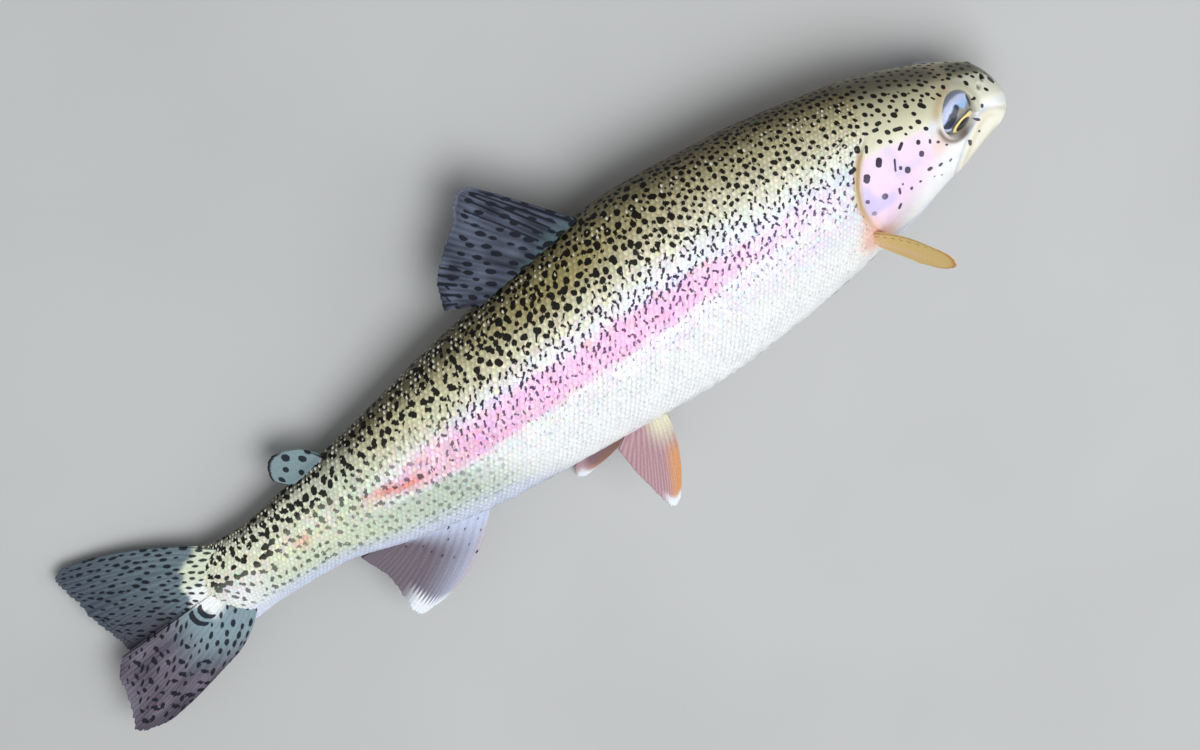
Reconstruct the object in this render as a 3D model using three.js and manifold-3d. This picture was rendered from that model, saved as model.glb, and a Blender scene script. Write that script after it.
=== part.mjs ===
// A life-size still model of an adult rainbow trout lying on its left flank, right flank up.
//
// Frame, in millimetres: +X from tail to snout, +Y towards the back of the fish, +Z up out of its right
// flank. The floor is z = 0, and the origin is the middle of the model's outline on the floor.
//
// The fish is drawn in its own coordinates, all in standard lengths: `s` behind the snout, `p` up from the
// straight axis towards the back, `q` out from the median plane towards the right flank. place() then
// bends and twists those into the resting pose.
import * as THREE from "three";
import { mergeVertices } from "three/addons/utils/BufferGeometryUtils.js";
import Module from "manifold-3d";

const wasm = await Module();
wasm.setup();

// ---- Driving sizes -------------------------------------------------------------------------------------
const STANDARD_LENGTH = 357; // snout to the end of the fleshy tail stalk
const GAP = 0.3; // clearance between neighbouring solids
const GILL_COVER_THICKNESS = 3.2;
const JAW_BONE_THICKNESS = 2.4;
const JAW_BONE_STANDS_PROUD = 0.5;
const FIN_ROOT_THICKNESS = 1.8;
const FIN_EDGE_THICKNESS = 0.6;
const EYE_RADIUS = 8.6;
const EYE_DEPTH_RATIO = 0.62; // the eyeball's depth over its width

// How fine the faceted solids are.
const BODY_RINGS = 42;
const BODY_SIDES = 32;
const POCKET_RINGS = 30;
const POCKET_SIDES = 20;
const FIN_RAYS = 8;
const FIN_STEPS = 4;

// ---- Body outline, in standard lengths ---------------------------------------------------------------
// top, bottom: the median outline; half: half the width; widest: the height of the widest line;
// crown, keel: the superellipse powers of the section above and below that line.
const STATIONS = [
  { at: 0.0, top: 0.024, bottom: -0.034, half: 0.024, widest: -0.008, crown: 2.2, keel: 2.0 },
  { at: 0.03, top: 0.05, bottom: -0.04, half: 0.035, widest: 0.004, crown: 2.5, keel: 1.8 },
  { at: 0.06, top: 0.0655, bottom: -0.052, half: 0.0445, widest: 0.01, crown: 2.7, keel: 1.7 },
  { at: 0.1, top: 0.0868, bottom: -0.066, half: 0.054, widest: 0.01, crown: 2.5, keel: 1.7 },
  { at: 0.15, top: 0.107, bottom: -0.079, half: 0.061, widest: 0.008, crown: 2.2, keel: 1.9 },
  { at: 0.2, top: 0.119, bottom: -0.088, half: 0.064, widest: 0.008, crown: 2.0, keel: 2.0 },
  { at: 0.3, top: 0.133, bottom: -0.102, half: 0.07, widest: 0.012, crown: 2.0, keel: 2.1 },
  { at: 0.42, top: 0.14, bottom: -0.1118, half: 0.0722, widest: 0.012, crown: 2.0, keel: 2.1 },
  { at: 0.54, top: 0.12, bottom: -0.1115, half: 0.065, widest: 0.008, crown: 2.0, keel: 2.0 },
  { at: 0.66, top: 0.0945, bottom: -0.11, half: 0.054, widest: 0.0, crown: 1.9, keel: 1.9 },
  { at: 0.78, top: 0.061, bottom: -0.096, half: 0.038, widest: -0.01, crown: 1.9, keel: 1.9 },
  { at: 0.88, top: 0.036, bottom: -0.075, half: 0.025, widest: -0.016, crown: 1.9, keel: 1.9 },
  { at: 0.95, top: 0.0215, bottom: -0.0765, half: 0.0175, widest: -0.022, crown: 1.9, keel: 1.9 },
  { at: 1.02, top: 0.0225, bottom: -0.082, half: 0.006, widest: -0.026, crown: 1.9, keel: 1.9 },
];
const SNOUT_ROUNDING = 0.022; // length over which the snout closes to a blunt round tip
const TAIL_STALK_BULGE = 0.026; // how far the middle of the stalk's end lies behind its corners

// ---- Pose, in standard lengths and degrees -----------------------------------------------------------
// lift: height of the axis above the floor; roll: how far the back is turned up.
const POSE = [
  { at: 0.0, lift: 0.056, roll: 14 },
  { at: 0.1, lift: 0.061, roll: 13 },
  { at: 0.2, lift: 0.0645, roll: 7 },
  { at: 0.3, lift: 0.0688, roll: 2 },
  { at: 0.42, lift: 0.0708, roll: 0 },
  { at: 0.6, lift: 0.063, roll: 0 },
  { at: 0.85, lift: 0.044, roll: -3 },
  { at: 1.0, lift: 0.03, roll: -6 },
  { at: 1.15, lift: 0.024, roll: -7 },
];

// ---- Head parts, as outlines of [s, p] ---------------------------------------------------------------
const HEAD_OUTLINE = [
  [-0.1, -0.2], [0.13, -0.2], [0.145, -0.085], [0.172, -0.066], [0.192, -0.044], [0.2025, -0.018],
  [0.2045, 0.008], [0.199, 0.031], [0.187, 0.053], [0.169, 0.0725], [0.158, 0.09], [0.153, 0.2], [-0.1, 0.2],
];
const GILL_COVER_OUTLINE = [
  [0.167, 0.0705], [0.185, 0.0525], [0.1975, 0.0305], [0.203, 0.008], [0.201, -0.0175], [0.19, -0.0425],
  [0.17, -0.062], [0.135, -0.0635], [0.1, -0.053], [0.098, -0.038], [0.112, -0.012], [0.117, 0.02],
  [0.125, 0.046], [0.146, 0.066],
];
const LOWER_JAW_OUTLINE = [
  [-0.1, -0.0125], [0.008, -0.0125], [0.04, -0.03], [0.058, -0.0385], [0.074, -0.047], [0.09, -0.051],
  [0.1, -0.062], [0.092, -0.12], [-0.1, -0.12],
];
const UPPER_JAW_BONE_OUTLINE = [
  [0.012, 0.003], [0.03, 0.001], [0.05, -0.007], [0.07, -0.018], [0.083, -0.028], [0.0885, -0.038],
  [0.0875, -0.0487], [0.074, -0.0458], [0.058, -0.0373], [0.04, -0.0288], [0.02, -0.018], [0.009, -0.0115],
];
const FLANK_PARTS_START_AT = 0.008; // how far off the median plane the paired head plates stop

// The right eye: its centre, and the way it looks, in [s, p, q].
const EYE_CENTRE = [0.068, 0.0338, 0.0345];
const EYE_LOOKS = [-0.286, -0.127, 0.949];

// ---- Where the trunk is parted ---------------------------------------------------------------------------
const TRUNK_PARTED_AT = 0.45;
const TAIL_STALK_STARTS_AT = 0.86;

// ---- Fins -----------------------------------------------------------------------------------------------
// Each is a sheet of rays. The first ray is the leading one; root and edge are curves of [s, p, q] through
// the rays' two ends, and bow is how far the middle of the leading ray stands off its chord.
const FINS = {
  dorsal_fin: {
    root: [[0.455, 0.126, 0], [0.52, 0.112, 0], [0.575, 0.1, 0]],
    edge: [
      [0.538, 0.224, -0.006], [0.5525, 0.2275, -0.007], [0.574, 0.1995, -0.006], [0.6, 0.1755, -0.005],
      [0.6175, 0.1565, -0.004], [0.63, 0.1225, -0.002],
    ],
    bow: [0, 0.002, 0],
  },
  adipose_fin: {
    root: [[0.817, 0.038, 0], [0.835, 0.032, 0], [0.852, 0.026, 0]],
    edge: [
      [0.8395, 0.067, 0], [0.8605, 0.075, 0], [0.873, 0.073, 0], [0.8805, 0.064, 0], [0.883, 0.051, 0],
      [0.8765, 0.044, 0],
    ],
    bow: [0, 0, 0],
  },
  anal_fin: {
    root: [[0.697, -0.094, 0], [0.76, -0.086, 0], [0.812, -0.076, 0]],
    edge: [
      [0.8185, -0.1805, -0.004], [0.8385, -0.181, -0.005], [0.8415, -0.158, -0.005], [0.8415, -0.122, -0.004],
      [0.8495, -0.095, -0.002], [0.854, -0.081, -0.001],
    ],
    bow: [-0.004, -0.018, 0],
  },
  caudal_fin_upper: {
    root: [[0.972, 0.01, 0], [1.0, -0.004, 0], [1.01, -0.026, 0]],
    edge: [
      [1.127, 0.0835, -0.002], [1.14, 0.0755, -0.003], [1.1365, 0.048, -0.004], [1.132, 0.0145, -0.005],
      [1.126, -0.011, -0.006], [1.1225, -0.032, -0.009], [1.122, -0.051, -0.011],
    ],
    bow: [0, 0.0115, 0],
  },
  caudal_fin_lower: {
    root: [[0.975, -0.064, 0], [1.0, -0.05, 0], [1.01, -0.028, 0]],
    edge: [
      [1.076, -0.109, 0.002], [1.129, -0.1305, 0.003], [1.155, -0.1265, 0.004], [1.1675, -0.12, 0.004],
      [1.1595, -0.0985, 0.005], [1.1515, -0.077, 0.006], [1.144, -0.053, 0.007], [1.131, -0.037, 0.006],
    ],
    bow: [-0.004, -0.016, 0],
  },
  pelvic_fin_right: {
    root: [[0.487, -0.098, 0.016], [0.505, -0.098, 0.013], [0.524, -0.096, 0.01]],
    edge: [
      [0.5245, -0.1975, 0.038], [0.534, -0.2025, 0.04], [0.539, -0.191, 0.04], [0.544, -0.17, 0.038],
      [0.549, -0.1465, 0.034], [0.553, -0.113, 0.024],
    ],
    bow: [-0.009, 0, 0],
  },
  pelvic_fin_left: {
    root: [[0.487, -0.098, -0.016], [0.505, -0.098, -0.013], [0.524, -0.096, -0.01]],
    edge: [
      [0.586, -0.1625, -0.0545], [0.604, -0.167, -0.0575], [0.6085, -0.1575, -0.0555], [0.602, -0.143, -0.05],
      [0.588, -0.128, -0.042], [0.562, -0.114, -0.028],
    ],
    bow: [-0.006, -0.004, 0],
  },
  pectoral_fin_right: {
    root: [[0.2085, -0.034, 0.046], [0.206, -0.046, 0.043], [0.2035, -0.058, 0.036]],
    edge: [
      [0.1645, -0.0325, 0.1385], [0.158, -0.0405, 0.148], [0.1565, -0.0555, 0.1435], [0.1625, -0.07, 0.122],
      [0.178, -0.0775, 0.083],
    ],
    bow: [-0.003, 0.003, 0],
  },
  pectoral_fin_left: {
    root: [[0.2085, -0.034, -0.046], [0.206, -0.046, -0.043], [0.2035, -0.058, -0.036]],
    edge: [
      [0.316, -0.081, -0.0625], [0.329, -0.0885, -0.063], [0.326, -0.098, -0.063], [0.308, -0.104, -0.0615],
      [0.272, -0.104, -0.0575],
    ],
    bow: [0, -0.002, 0],
  },
};

// ---- Colours ----------------------------------------------------------------------------------------------
const COLOURS = {
  back: 0x8f8a55,
  flank: 0xcfcab0,
  cheek: 0xdcc9d4,
  jaw: 0xe6e2d0,
  eye: 0x2b2a20,
  darkFin: 0x5f6470,
  paleFin: 0xb79aa2,
  amberFin: 0xc9a75e,
};

// ---- Curves --------------------------------------------------------------------------------------------
// A smooth curve through rows sorted by `at`: a cubic with the slopes limited so that it never overshoots.
function valueAlong(rows, key, at) {
  const x = Math.min(Math.max(at, rows[0].at), rows.at(-1).at);
  const i = Math.min(Math.max(rows.findIndex((row) => row.at >= x) - 1, 0), rows.length - 2);
  const slopeBetween = (j) => (rows[j + 1][key] - rows[j][key]) / (rows[j + 1].at - rows[j].at);
  const slopeAt = (j) => {
    if (j === 0) return slopeBetween(0);
    if (j === rows.length - 1) return slopeBetween(j - 1);
    const [before, after] = [slopeBetween(j - 1), slopeBetween(j)];
    return before * after <= 0 ? 0 : (2 * before * after) / (before + after);
  };
  const width = rows[i + 1].at - rows[i].at;
  const t = (x - rows[i].at) / width;
  const [t2, t3] = [t * t, t * t * t];
  return (
    (2 * t3 - 3 * t2 + 1) * rows[i][key] +
    (t3 - 2 * t2 + t) * width * slopeAt(i) +
    (3 * t2 - 2 * t3) * rows[i + 1][key] +
    (t3 - t2) * width * slopeAt(i + 1)
  );
}

function curveThrough(points) {
  return new THREE.CatmullRomCurve3(points.map((point) => new THREE.Vector3(...point)), false, "centripetal");
}

// ---- The fish's coordinates to the model's frame --------------------------------------------------------
function place(s, p, q) {
  const roll = THREE.MathUtils.degToRad(valueAlong(POSE, "roll", s));
  return new THREE.Vector3(
    -s * STANDARD_LENGTH,
    (p * Math.cos(roll) - q * Math.sin(roll)) * STANDARD_LENGTH,
    (valueAlong(POSE, "lift", s) + p * Math.sin(roll) + q * Math.cos(roll)) * STANDARD_LENGTH,
  );
}

// The section at s, grown by `grow` millimetres, at `angle`: 0 is the right flank and a quarter turn the back.
function sectionPoint(s, angle, grow) {
  const read = (key) => valueAlong(STATIONS, key, s);
  const near = Math.min(Math.max(s / SNOUT_ROUNDING, 0), 1);
  const closing = Math.sqrt(1 - (1 - near) ** 2);
  const reachOf = (size) => Math.max(size * closing + grow / STANDARD_LENGTH, 0.0005);
  const [up, side] = [Math.sin(angle), Math.cos(angle)];
  const power = up > 0 ? read("crown") : read("keel");
  const height = reachOf(up > 0 ? read("top") - read("widest") : read("widest") - read("bottom"));
  return {
    p: read("widest") + height * Math.sign(up) * Math.abs(up) ** (2 / power),
    q: reachOf(read("half")) * Math.sign(side) * Math.abs(side) ** (2 / power),
  };
}

// The last stretch of the tail stalk ends in an arc: its corners lie ahead of its middle.
function stalkEnd(s, p) {
  const end = STATIONS.at(-1);
  const nearEnd = THREE.MathUtils.smoothstep(s, end.at - 0.1, end.at);
  const offMiddle = (p - end.widest) / (end.widest - end.bottom);
  return s - TAIL_STALK_BULGE * nearEnd * offMiddle ** 2;
}

// ---- Solids ----------------------------------------------------------------------------------------------
function solidFrom(geometry) {
  const bare = new THREE.BufferGeometry();
  bare.setAttribute("position", geometry.getAttribute("position"));
  bare.setIndex(geometry.index);
  const merged = mergeVertices(bare, 1e-4);
  return new wasm.Manifold(
    new wasm.Mesh({
      numProp: 3,
      vertProperties: merged.attributes.position.array,
      triVerts: new Uint32Array(merged.index.array),
    }),
  );
}

function geometryFrom(solid) {
  const { vertProperties, triVerts } = solid.getMesh();
  const geometry = new THREE.BufferGeometry();
  geometry.setAttribute("position", new THREE.BufferAttribute(vertProperties, 3));
  geometry.setIndex(new THREE.BufferAttribute(triVerts, 1));
  geometry.computeVertexNormals();
  return geometry;
}

function largestPiece(solid) {
  return solid.decompose().reduce((best, piece) => (piece.volume() > best.volume() ? piece : best));
}

// A closed solid from rings of equal length, first point on the right flank and a quarter of the way round
// on the back. Each end is closed by strips straight across from flank to flank.
function solidFromRings(rings) {
  const sides = rings[0].length;
  const faces = [];
  const face = (a, b, c) => a !== b && b !== c && c !== a && faces.push(a, b, c);
  for (let i = 0; i + 1 < rings.length; i++)
    for (let j = 0; j < sides; j++) {
      const [a, b] = [i * sides + j, i * sides + ((j + 1) % sides)];
      face(a, b, b + sides);
      face(a, b + sides, a + sides);
    }
  const lastStart = (rings.length - 1) * sides;
  const right = (start, k) => start + ((sides / 4 - k + sides) % sides);
  const left = (start, k) => start + sides / 4 + k;
  for (let k = 0; k < sides / 2; k++) {
    face(left(0, k), right(0, k), right(0, k + 1));
    face(left(0, k), right(0, k + 1), left(0, k + 1));
    face(right(lastStart, k), left(lastStart, k), left(lastStart, k + 1));
    face(right(lastStart, k), left(lastStart, k + 1), right(lastStart, k + 1));
  }
  const geometry = new THREE.BufferGeometry().setFromPoints(rings.flat());
  geometry.setIndex(faces);
  return solidFrom(geometry);
}

// The whole body, grown by `grow` millimetres. Flesh that would sink into the floor lies flat on it.
function bodySolid(grow, ringCount = BODY_RINGS, sides = BODY_SIDES) {
  const rings = [];
  for (let i = 0; i <= ringCount; i++) {
    const along = i / ringCount;
    const s = 0.0004 + (STATIONS.at(-1).at - 0.0004) * (0.35 * along ** 2.2 + 0.65 * along ** 1.15);
    const ring = [];
    for (let j = 0; j < sides; j++) {
      const angle = (2 * Math.PI * j) / sides;
      const { p, q } = sectionPoint(s, angle, grow);
      const v = place(stalkEnd(s, sectionPoint(s, angle, 0).p), p, q);
      v.x += grow * (1 - 2 * along);
      v.z = Math.max(v.z, -grow);
      ring.push(v);
    }
    rings.push(ring);
  }
  return solidFromRings(rings);
}

// Moves each corner of a closed outline out by `by` millimetres.
function grownOutline(outline, by) {
  const turn = THREE.ShapeUtils.area(outline.map(([x, y]) => new THREE.Vector2(x, y))) > 0 ? 1 : -1;
  const normalOf = ([x0, y0], [x1, y1]) => new THREE.Vector2(y1 - y0, x0 - x1).normalize().multiplyScalar(turn);
  return outline.map((corner, i) => {
    const before = normalOf(outline.at(i - 1), corner);
    const after = normalOf(corner, outline[(i + 1) % outline.length]);
    const middle = before.clone().add(after).normalize();
    const reach = by / STANDARD_LENGTH / Math.max(middle.dot(after), 0.5);
    return [corner[0] + middle.x * reach, corner[1] + middle.y * reach];
  });
}

// A bar through the fish over an [s, p] outline, from q = `from` to q = `to`.
function barOver(outline, from = -0.2, to = 0.2) {
  const shape = new THREE.Shape(outline.map(([s, p]) => new THREE.Vector2(-s, p)));
  const geometry = new THREE.ExtrudeGeometry(shape, { depth: to - from, bevelEnabled: false });
  const position = geometry.getAttribute("position");
  for (let i = 0; i < position.count; i++) {
    const v = place(-position.getX(i), position.getY(i), position.getZ(i) + from);
    position.setXYZ(i, v.x, v.y, v.z);
  }
  return solidFrom(geometry);
}

// All of the fish between two places along its length.
function stretch(from, to) {
  const length = (to - from) * STANDARD_LENGTH;
  const box = new THREE.BoxGeometry(length, 400, 400);
  box.translate(-((from + to) / 2) * STANDARD_LENGTH, 0, 0);
  return solidFrom(box);
}

// ---- Head ---------------------------------------------------------------------------------------------------
function eyeSolid(side, grow) {
  const sphere = new THREE.SphereGeometry(EYE_RADIUS + grow, 20, 9);
  sphere.rotateX(Math.PI / 2);
  sphere.scale(1, 1, EYE_DEPTH_RATIO);
  const [s, p, q] = EYE_CENTRE;
  const centre = place(s, p, q * side);
  const [ds, dp, dq] = EYE_LOOKS;
  const ahead = place(s + ds * 0.01, p + dp * 0.01, (q + dq * 0.01) * side);
  const looks = ahead.sub(centre).normalize();
  sphere.applyQuaternion(new THREE.Quaternion().setFromUnitVectors(new THREE.Vector3(0, 0, 1), looks));
  sphere.translate(centre.x, centre.y, centre.z);
  return solidFrom(sphere);
}

// The bar over an outline on one flank only, grown by `grow` millimetres.
function flankBar(outline, side, grow) {
  const inner = FLANK_PARTS_START_AT - grow / STANDARD_LENGTH;
  const grown = grownOutline(outline, grow);
  return side > 0 ? barOver(grown, inner, 0.2) : barOver(grown, -0.2, -inner);
}

function buildHead(body) {
  const pocketFloor = (depth) => bodySolid(-depth, POCKET_RINGS, POCKET_SIDES);
  const jawBoneDepth = JAW_BONE_THICKNESS - JAW_BONE_STANDS_PROUD;
  const underCovers = pocketFloor(GILL_COVER_THICKNESS);
  const underCoversClear = pocketFloor(GILL_COVER_THICKNESS + GAP);
  const jawBoneOuter = bodySolid(JAW_BONE_STANDS_PROUD);
  const underJawBone = pocketFloor(jawBoneDepth);
  const underJawBoneClear = pocketFloor(jawBoneDepth + GAP);
  const eyeSockets = [eyeSolid(1, GAP), eyeSolid(-1, GAP)];

  const nodes = {};
  let head = body.intersect(barOver(HEAD_OUTLINE)).subtract(barOver(grownOutline(LOWER_JAW_OUTLINE, GAP)));
  let lowerJaw = body.intersect(barOver(LOWER_JAW_OUTLINE));
  for (const [name, side] of [["right", 1], ["left", -1]]) {
    const coverBar = flankBar(GILL_COVER_OUTLINE, side, 0);
    nodes[`gill_cover_${name}`] = largestPiece(body.intersect(coverBar).subtract(underCovers));
    head = head.subtract(flankBar(GILL_COVER_OUTLINE, side, GAP).subtract(underCoversClear));

    const boneBar = flankBar(UPPER_JAW_BONE_OUTLINE, side, 0);
    nodes[`upper_jaw_bone_${name}`] = largestPiece(jawBoneOuter.intersect(boneBar).subtract(underJawBone));
    const bonePocket = flankBar(UPPER_JAW_BONE_OUTLINE, side, GAP).subtract(underJawBoneClear);
    head = head.subtract(bonePocket);
    lowerJaw = lowerJaw.subtract(bonePocket);
    nodes[`eye_${name}`] = eyeSolid(side, 0);
  }
  for (const socket of eyeSockets) head = head.subtract(socket);
  nodes.head = largestPiece(head);
  nodes.lower_jaw = largestPiece(lowerJaw);
  return nodes;
}

// ---- Trunk --------------------------------------------------------------------------------------------------
function buildTrunk(body) {
  const half = GAP / STANDARD_LENGTH / 2;
  const behindHead = body.subtract(barOver(grownOutline(HEAD_OUTLINE, GAP)));
  return {
    trunk_front: largestPiece(behindHead.intersect(stretch(0, TRUNK_PARTED_AT - half))),
    trunk_rear: behindHead.intersect(stretch(TRUNK_PARTED_AT + half, TAIL_STALK_STARTS_AT - half)),
    tail_stalk: behindHead.intersect(stretch(TAIL_STALK_STARTS_AT + half, 1.1)),
  };
}

// ---- Fins ---------------------------------------------------------------------------------------------------
function finPoint({ root, edge, bow }, ray, out) {
  const from = root.getPoint(ray);
  const to = edge.getPoint(ray);
  const v = from.lerp(to, out).addScaledVector(bow, (1 - ray) ** 2 * 4 * out * (1 - out));
  return place(v.x, v.y, v.z);
}

// A thin closed plate about the sheet, grown by `grow` millimetres to either side.
function finSolid(fin, grow) {
  const sheet = {
    root: curveThrough(fin.root),
    edge: curveThrough(fin.edge),
    bow: new THREE.Vector3(...fin.bow),
  };
  const [near, far] = [[], []];
  for (let i = 0; i <= FIN_RAYS; i++)
    for (let j = 0; j <= FIN_STEPS; j++) {
      const [ray, out] = [i / FIN_RAYS, j / FIN_STEPS];
      const step = 0.01;
      const v = finPoint(sheet, ray, out);
      const across = finPoint(sheet, Math.min(ray + step, 1), out).sub(finPoint(sheet, Math.max(ray - step, 0), out));
      const along = finPoint(sheet, ray, out + step).sub(finPoint(sheet, ray, out - step));
      const normal = across.cross(along).normalize();
      const thickness = THREE.MathUtils.lerp(FIN_ROOT_THICKNESS, FIN_EDGE_THICKNESS, out) / 2 + grow;
      near.push(v.clone().addScaledVector(normal, thickness));
      far.push(v.clone().addScaledVector(normal, -thickness));
    }
  const points = [...near, ...far];
  const index = (i, j, layer) => layer * near.length + i * (FIN_STEPS + 1) + j;
  const faces = [];
  const quad = (a, b, c, d) => faces.push(a, b, c, a, c, d);
  for (let i = 0; i < FIN_RAYS; i++)
    for (let j = 0; j < FIN_STEPS; j++) {
      quad(index(i, j, 0), index(i + 1, j, 0), index(i + 1, j + 1, 0), index(i, j + 1, 0));
      quad(index(i, j, 1), index(i, j + 1, 1), index(i + 1, j + 1, 1), index(i + 1, j, 1));
    }
  for (let i = 0; i < FIN_RAYS; i++) {
    quad(index(i, 0, 0), index(i, 0, 1), index(i + 1, 0, 1), index(i + 1, 0, 0));
    quad(index(i, FIN_STEPS, 0), index(i + 1, FIN_STEPS, 0), index(i + 1, FIN_STEPS, 1), index(i, FIN_STEPS, 1));
  }
  for (let j = 0; j < FIN_STEPS; j++) {
    quad(index(0, j, 0), index(0, j + 1, 0), index(0, j + 1, 1), index(0, j, 1));
    quad(index(FIN_RAYS, j, 0), index(FIN_RAYS, j, 1), index(FIN_RAYS, j + 1, 1), index(FIN_RAYS, j + 1, 0));
  }
  const geometry = new THREE.BufferGeometry().setFromPoints(points);
  geometry.setIndex(faces);
  return solidFrom(geometry);
}

function buildFins(bodyClear) {
  const nodes = {};
  for (const [name, fin] of Object.entries(FINS)) nodes[name] = largestPiece(finSolid(fin, 0).subtract(bodyClear));
  const upperLobeClear = finSolid(FINS.caudal_fin_upper, GAP);
  nodes.caudal_fin_lower = largestPiece(nodes.caudal_fin_lower.subtract(upperLobeClear));
  return nodes;
}

// ---- The whole fish -------------------------------------------------------------------------------------
function materialFor(name) {
  const kinds = [
    [/^eye/, COLOURS.eye, 0.1],
    [/^gill_cover/, COLOURS.cheek, 0.35],
    [/jaw/, COLOURS.jaw, 0.4],
    [/^(pelvic|anal)/, COLOURS.paleFin, 0.5],
    [/^pectoral/, COLOURS.amberFin, 0.5],
    [/_fin/, COLOURS.darkFin, 0.5],
    [/^head|^tail/, COLOURS.back, 0.4],
  ];
  const [, color, roughness] = kinds.find(([pattern]) => pattern.test(name)) ?? [null, COLOURS.flank, 0.35];
  return new THREE.MeshStandardMaterial({ color, roughness, metalness: 0 });
}

function buildTrout() {
  const body = bodySolid(0);
  const solids = { ...buildHead(body), ...buildTrunk(body), ...buildFins(bodySolid(GAP)) };
  const trout = new THREE.Group();
  trout.name = "rainbow_trout";
  for (const [name, solid] of Object.entries(solids)) {
    const mesh = new THREE.Mesh(geometryFrom(solid), materialFor(name));
    mesh.name = name;
    trout.add(mesh);
  }
  const box = new THREE.Box3().setFromObject(trout);
  const middle = box.getCenter(new THREE.Vector3());
  for (const mesh of trout.children) mesh.geometry.translate(-middle.x, -middle.y, -box.min.z);
  return trout;
}

export default buildTrout();
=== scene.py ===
"""Looks of a life-size rainbow trout lying on its left flank: one skin, its scales, fins and eyes.

The fish's own coordinates are as in the CAD source, in standard lengths: s behind the snout, p up from the
straight axis towards the back, q out from the median plane towards the right flank. On the skin a place
is also (s, w): w is the share of the half girth round from the back, positive on the right flank, and f is
w without its sign. Millimetres along and round the unrolled body are u and v.
"""
import math

import bpy
import numpy as np
from mathutils import Matrix, Vector


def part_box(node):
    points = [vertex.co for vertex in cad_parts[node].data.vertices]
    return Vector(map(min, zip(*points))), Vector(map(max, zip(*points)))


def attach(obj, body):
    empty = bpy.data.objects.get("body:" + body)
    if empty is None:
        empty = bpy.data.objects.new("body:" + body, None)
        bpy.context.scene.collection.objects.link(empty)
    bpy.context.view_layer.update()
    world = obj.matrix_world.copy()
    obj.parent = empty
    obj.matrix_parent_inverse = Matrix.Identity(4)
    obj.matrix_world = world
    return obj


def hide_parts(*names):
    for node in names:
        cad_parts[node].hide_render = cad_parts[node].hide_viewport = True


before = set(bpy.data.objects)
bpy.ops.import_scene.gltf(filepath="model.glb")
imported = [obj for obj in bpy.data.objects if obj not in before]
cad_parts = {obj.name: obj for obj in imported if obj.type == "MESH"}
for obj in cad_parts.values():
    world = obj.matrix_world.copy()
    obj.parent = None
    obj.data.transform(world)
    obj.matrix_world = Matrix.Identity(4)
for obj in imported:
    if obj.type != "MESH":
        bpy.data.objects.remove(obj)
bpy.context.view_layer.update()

MM = 0.001
STANDARD_LENGTH = 0.357
BODY_END = 1.02
SNOUT_ROUNDING = 0.022
TAIL_STALK_BULGE = 0.026

# Rows of (at, top, bottom, half width, height of the widest line, crown power, keel power).
STATIONS = np.array([
    (0.0, 0.024, -0.034, 0.024, -0.008, 2.2, 2.0),
    (0.03, 0.05, -0.04, 0.035, 0.004, 2.5, 1.8),
    (0.06, 0.0655, -0.052, 0.0445, 0.01, 2.7, 1.7),
    (0.1, 0.0868, -0.066, 0.054, 0.01, 2.5, 1.7),
    (0.15, 0.107, -0.079, 0.061, 0.008, 2.2, 1.9),
    (0.2, 0.119, -0.088, 0.064, 0.008, 2.0, 2.0),
    (0.3, 0.133, -0.102, 0.07, 0.012, 2.0, 2.1),
    (0.42, 0.14, -0.1118, 0.0722, 0.012, 2.0, 2.1),
    (0.54, 0.12, -0.1115, 0.065, 0.008, 2.0, 2.0),
    (0.66, 0.0945, -0.11, 0.054, 0.0, 1.9, 1.9),
    (0.78, 0.061, -0.096, 0.038, -0.01, 1.9, 1.9),
    (0.88, 0.036, -0.075, 0.025, -0.016, 1.9, 1.9),
    (0.95, 0.0215, -0.0765, 0.0175, -0.022, 1.9, 1.9),
    (1.02, 0.0225, -0.082, 0.006, -0.026, 1.9, 1.9),
])
# Rows of (at, lift above the floor, roll in degrees).
POSE = np.array([
    (0.0, 0.056, 14), (0.1, 0.061, 13), (0.2, 0.0645, 7), (0.3, 0.0688, 2), (0.42, 0.0708, 0),
    (0.6, 0.063, 0), (0.85, 0.044, -3), (1.0, 0.03, -6), (1.15, 0.024, -7),
])
HEAD_OUTLINE = [
    (-0.1, -0.2), (0.13, -0.2), (0.145, -0.085), (0.172, -0.066), (0.192, -0.044), (0.2025, -0.018),
    (0.2045, 0.008), (0.199, 0.031), (0.187, 0.053), (0.169, 0.0725), (0.158, 0.09), (0.153, 0.2),
    (-0.1, 0.2),
]
UPPER_JAW_BONE = [
    (0.013, -0.005), (0.022, 0.006), (0.032, 0.0135), (0.0425, 0.0155), (0.0535, 0.011), (0.065, 0.002),
    (0.076, -0.011), (0.0835, -0.024), (0.0885, -0.038), (0.0875, -0.0487), (0.074, -0.0458),
    (0.058, -0.0373), (0.04, -0.0288), (0.02, -0.018), (0.009, -0.0115),
]
EYE_CENTRE = np.array((0.068, 0.0338, 0.0345))
EYE_LOOKS = np.array((-0.286, -0.127, 0.949))
EYE_RADIUS = 8.6 * MM
EYE_DEPTH_RATIO = 0.62
PECTORAL_BASE = (0.205, -0.046, 0.05)

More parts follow.
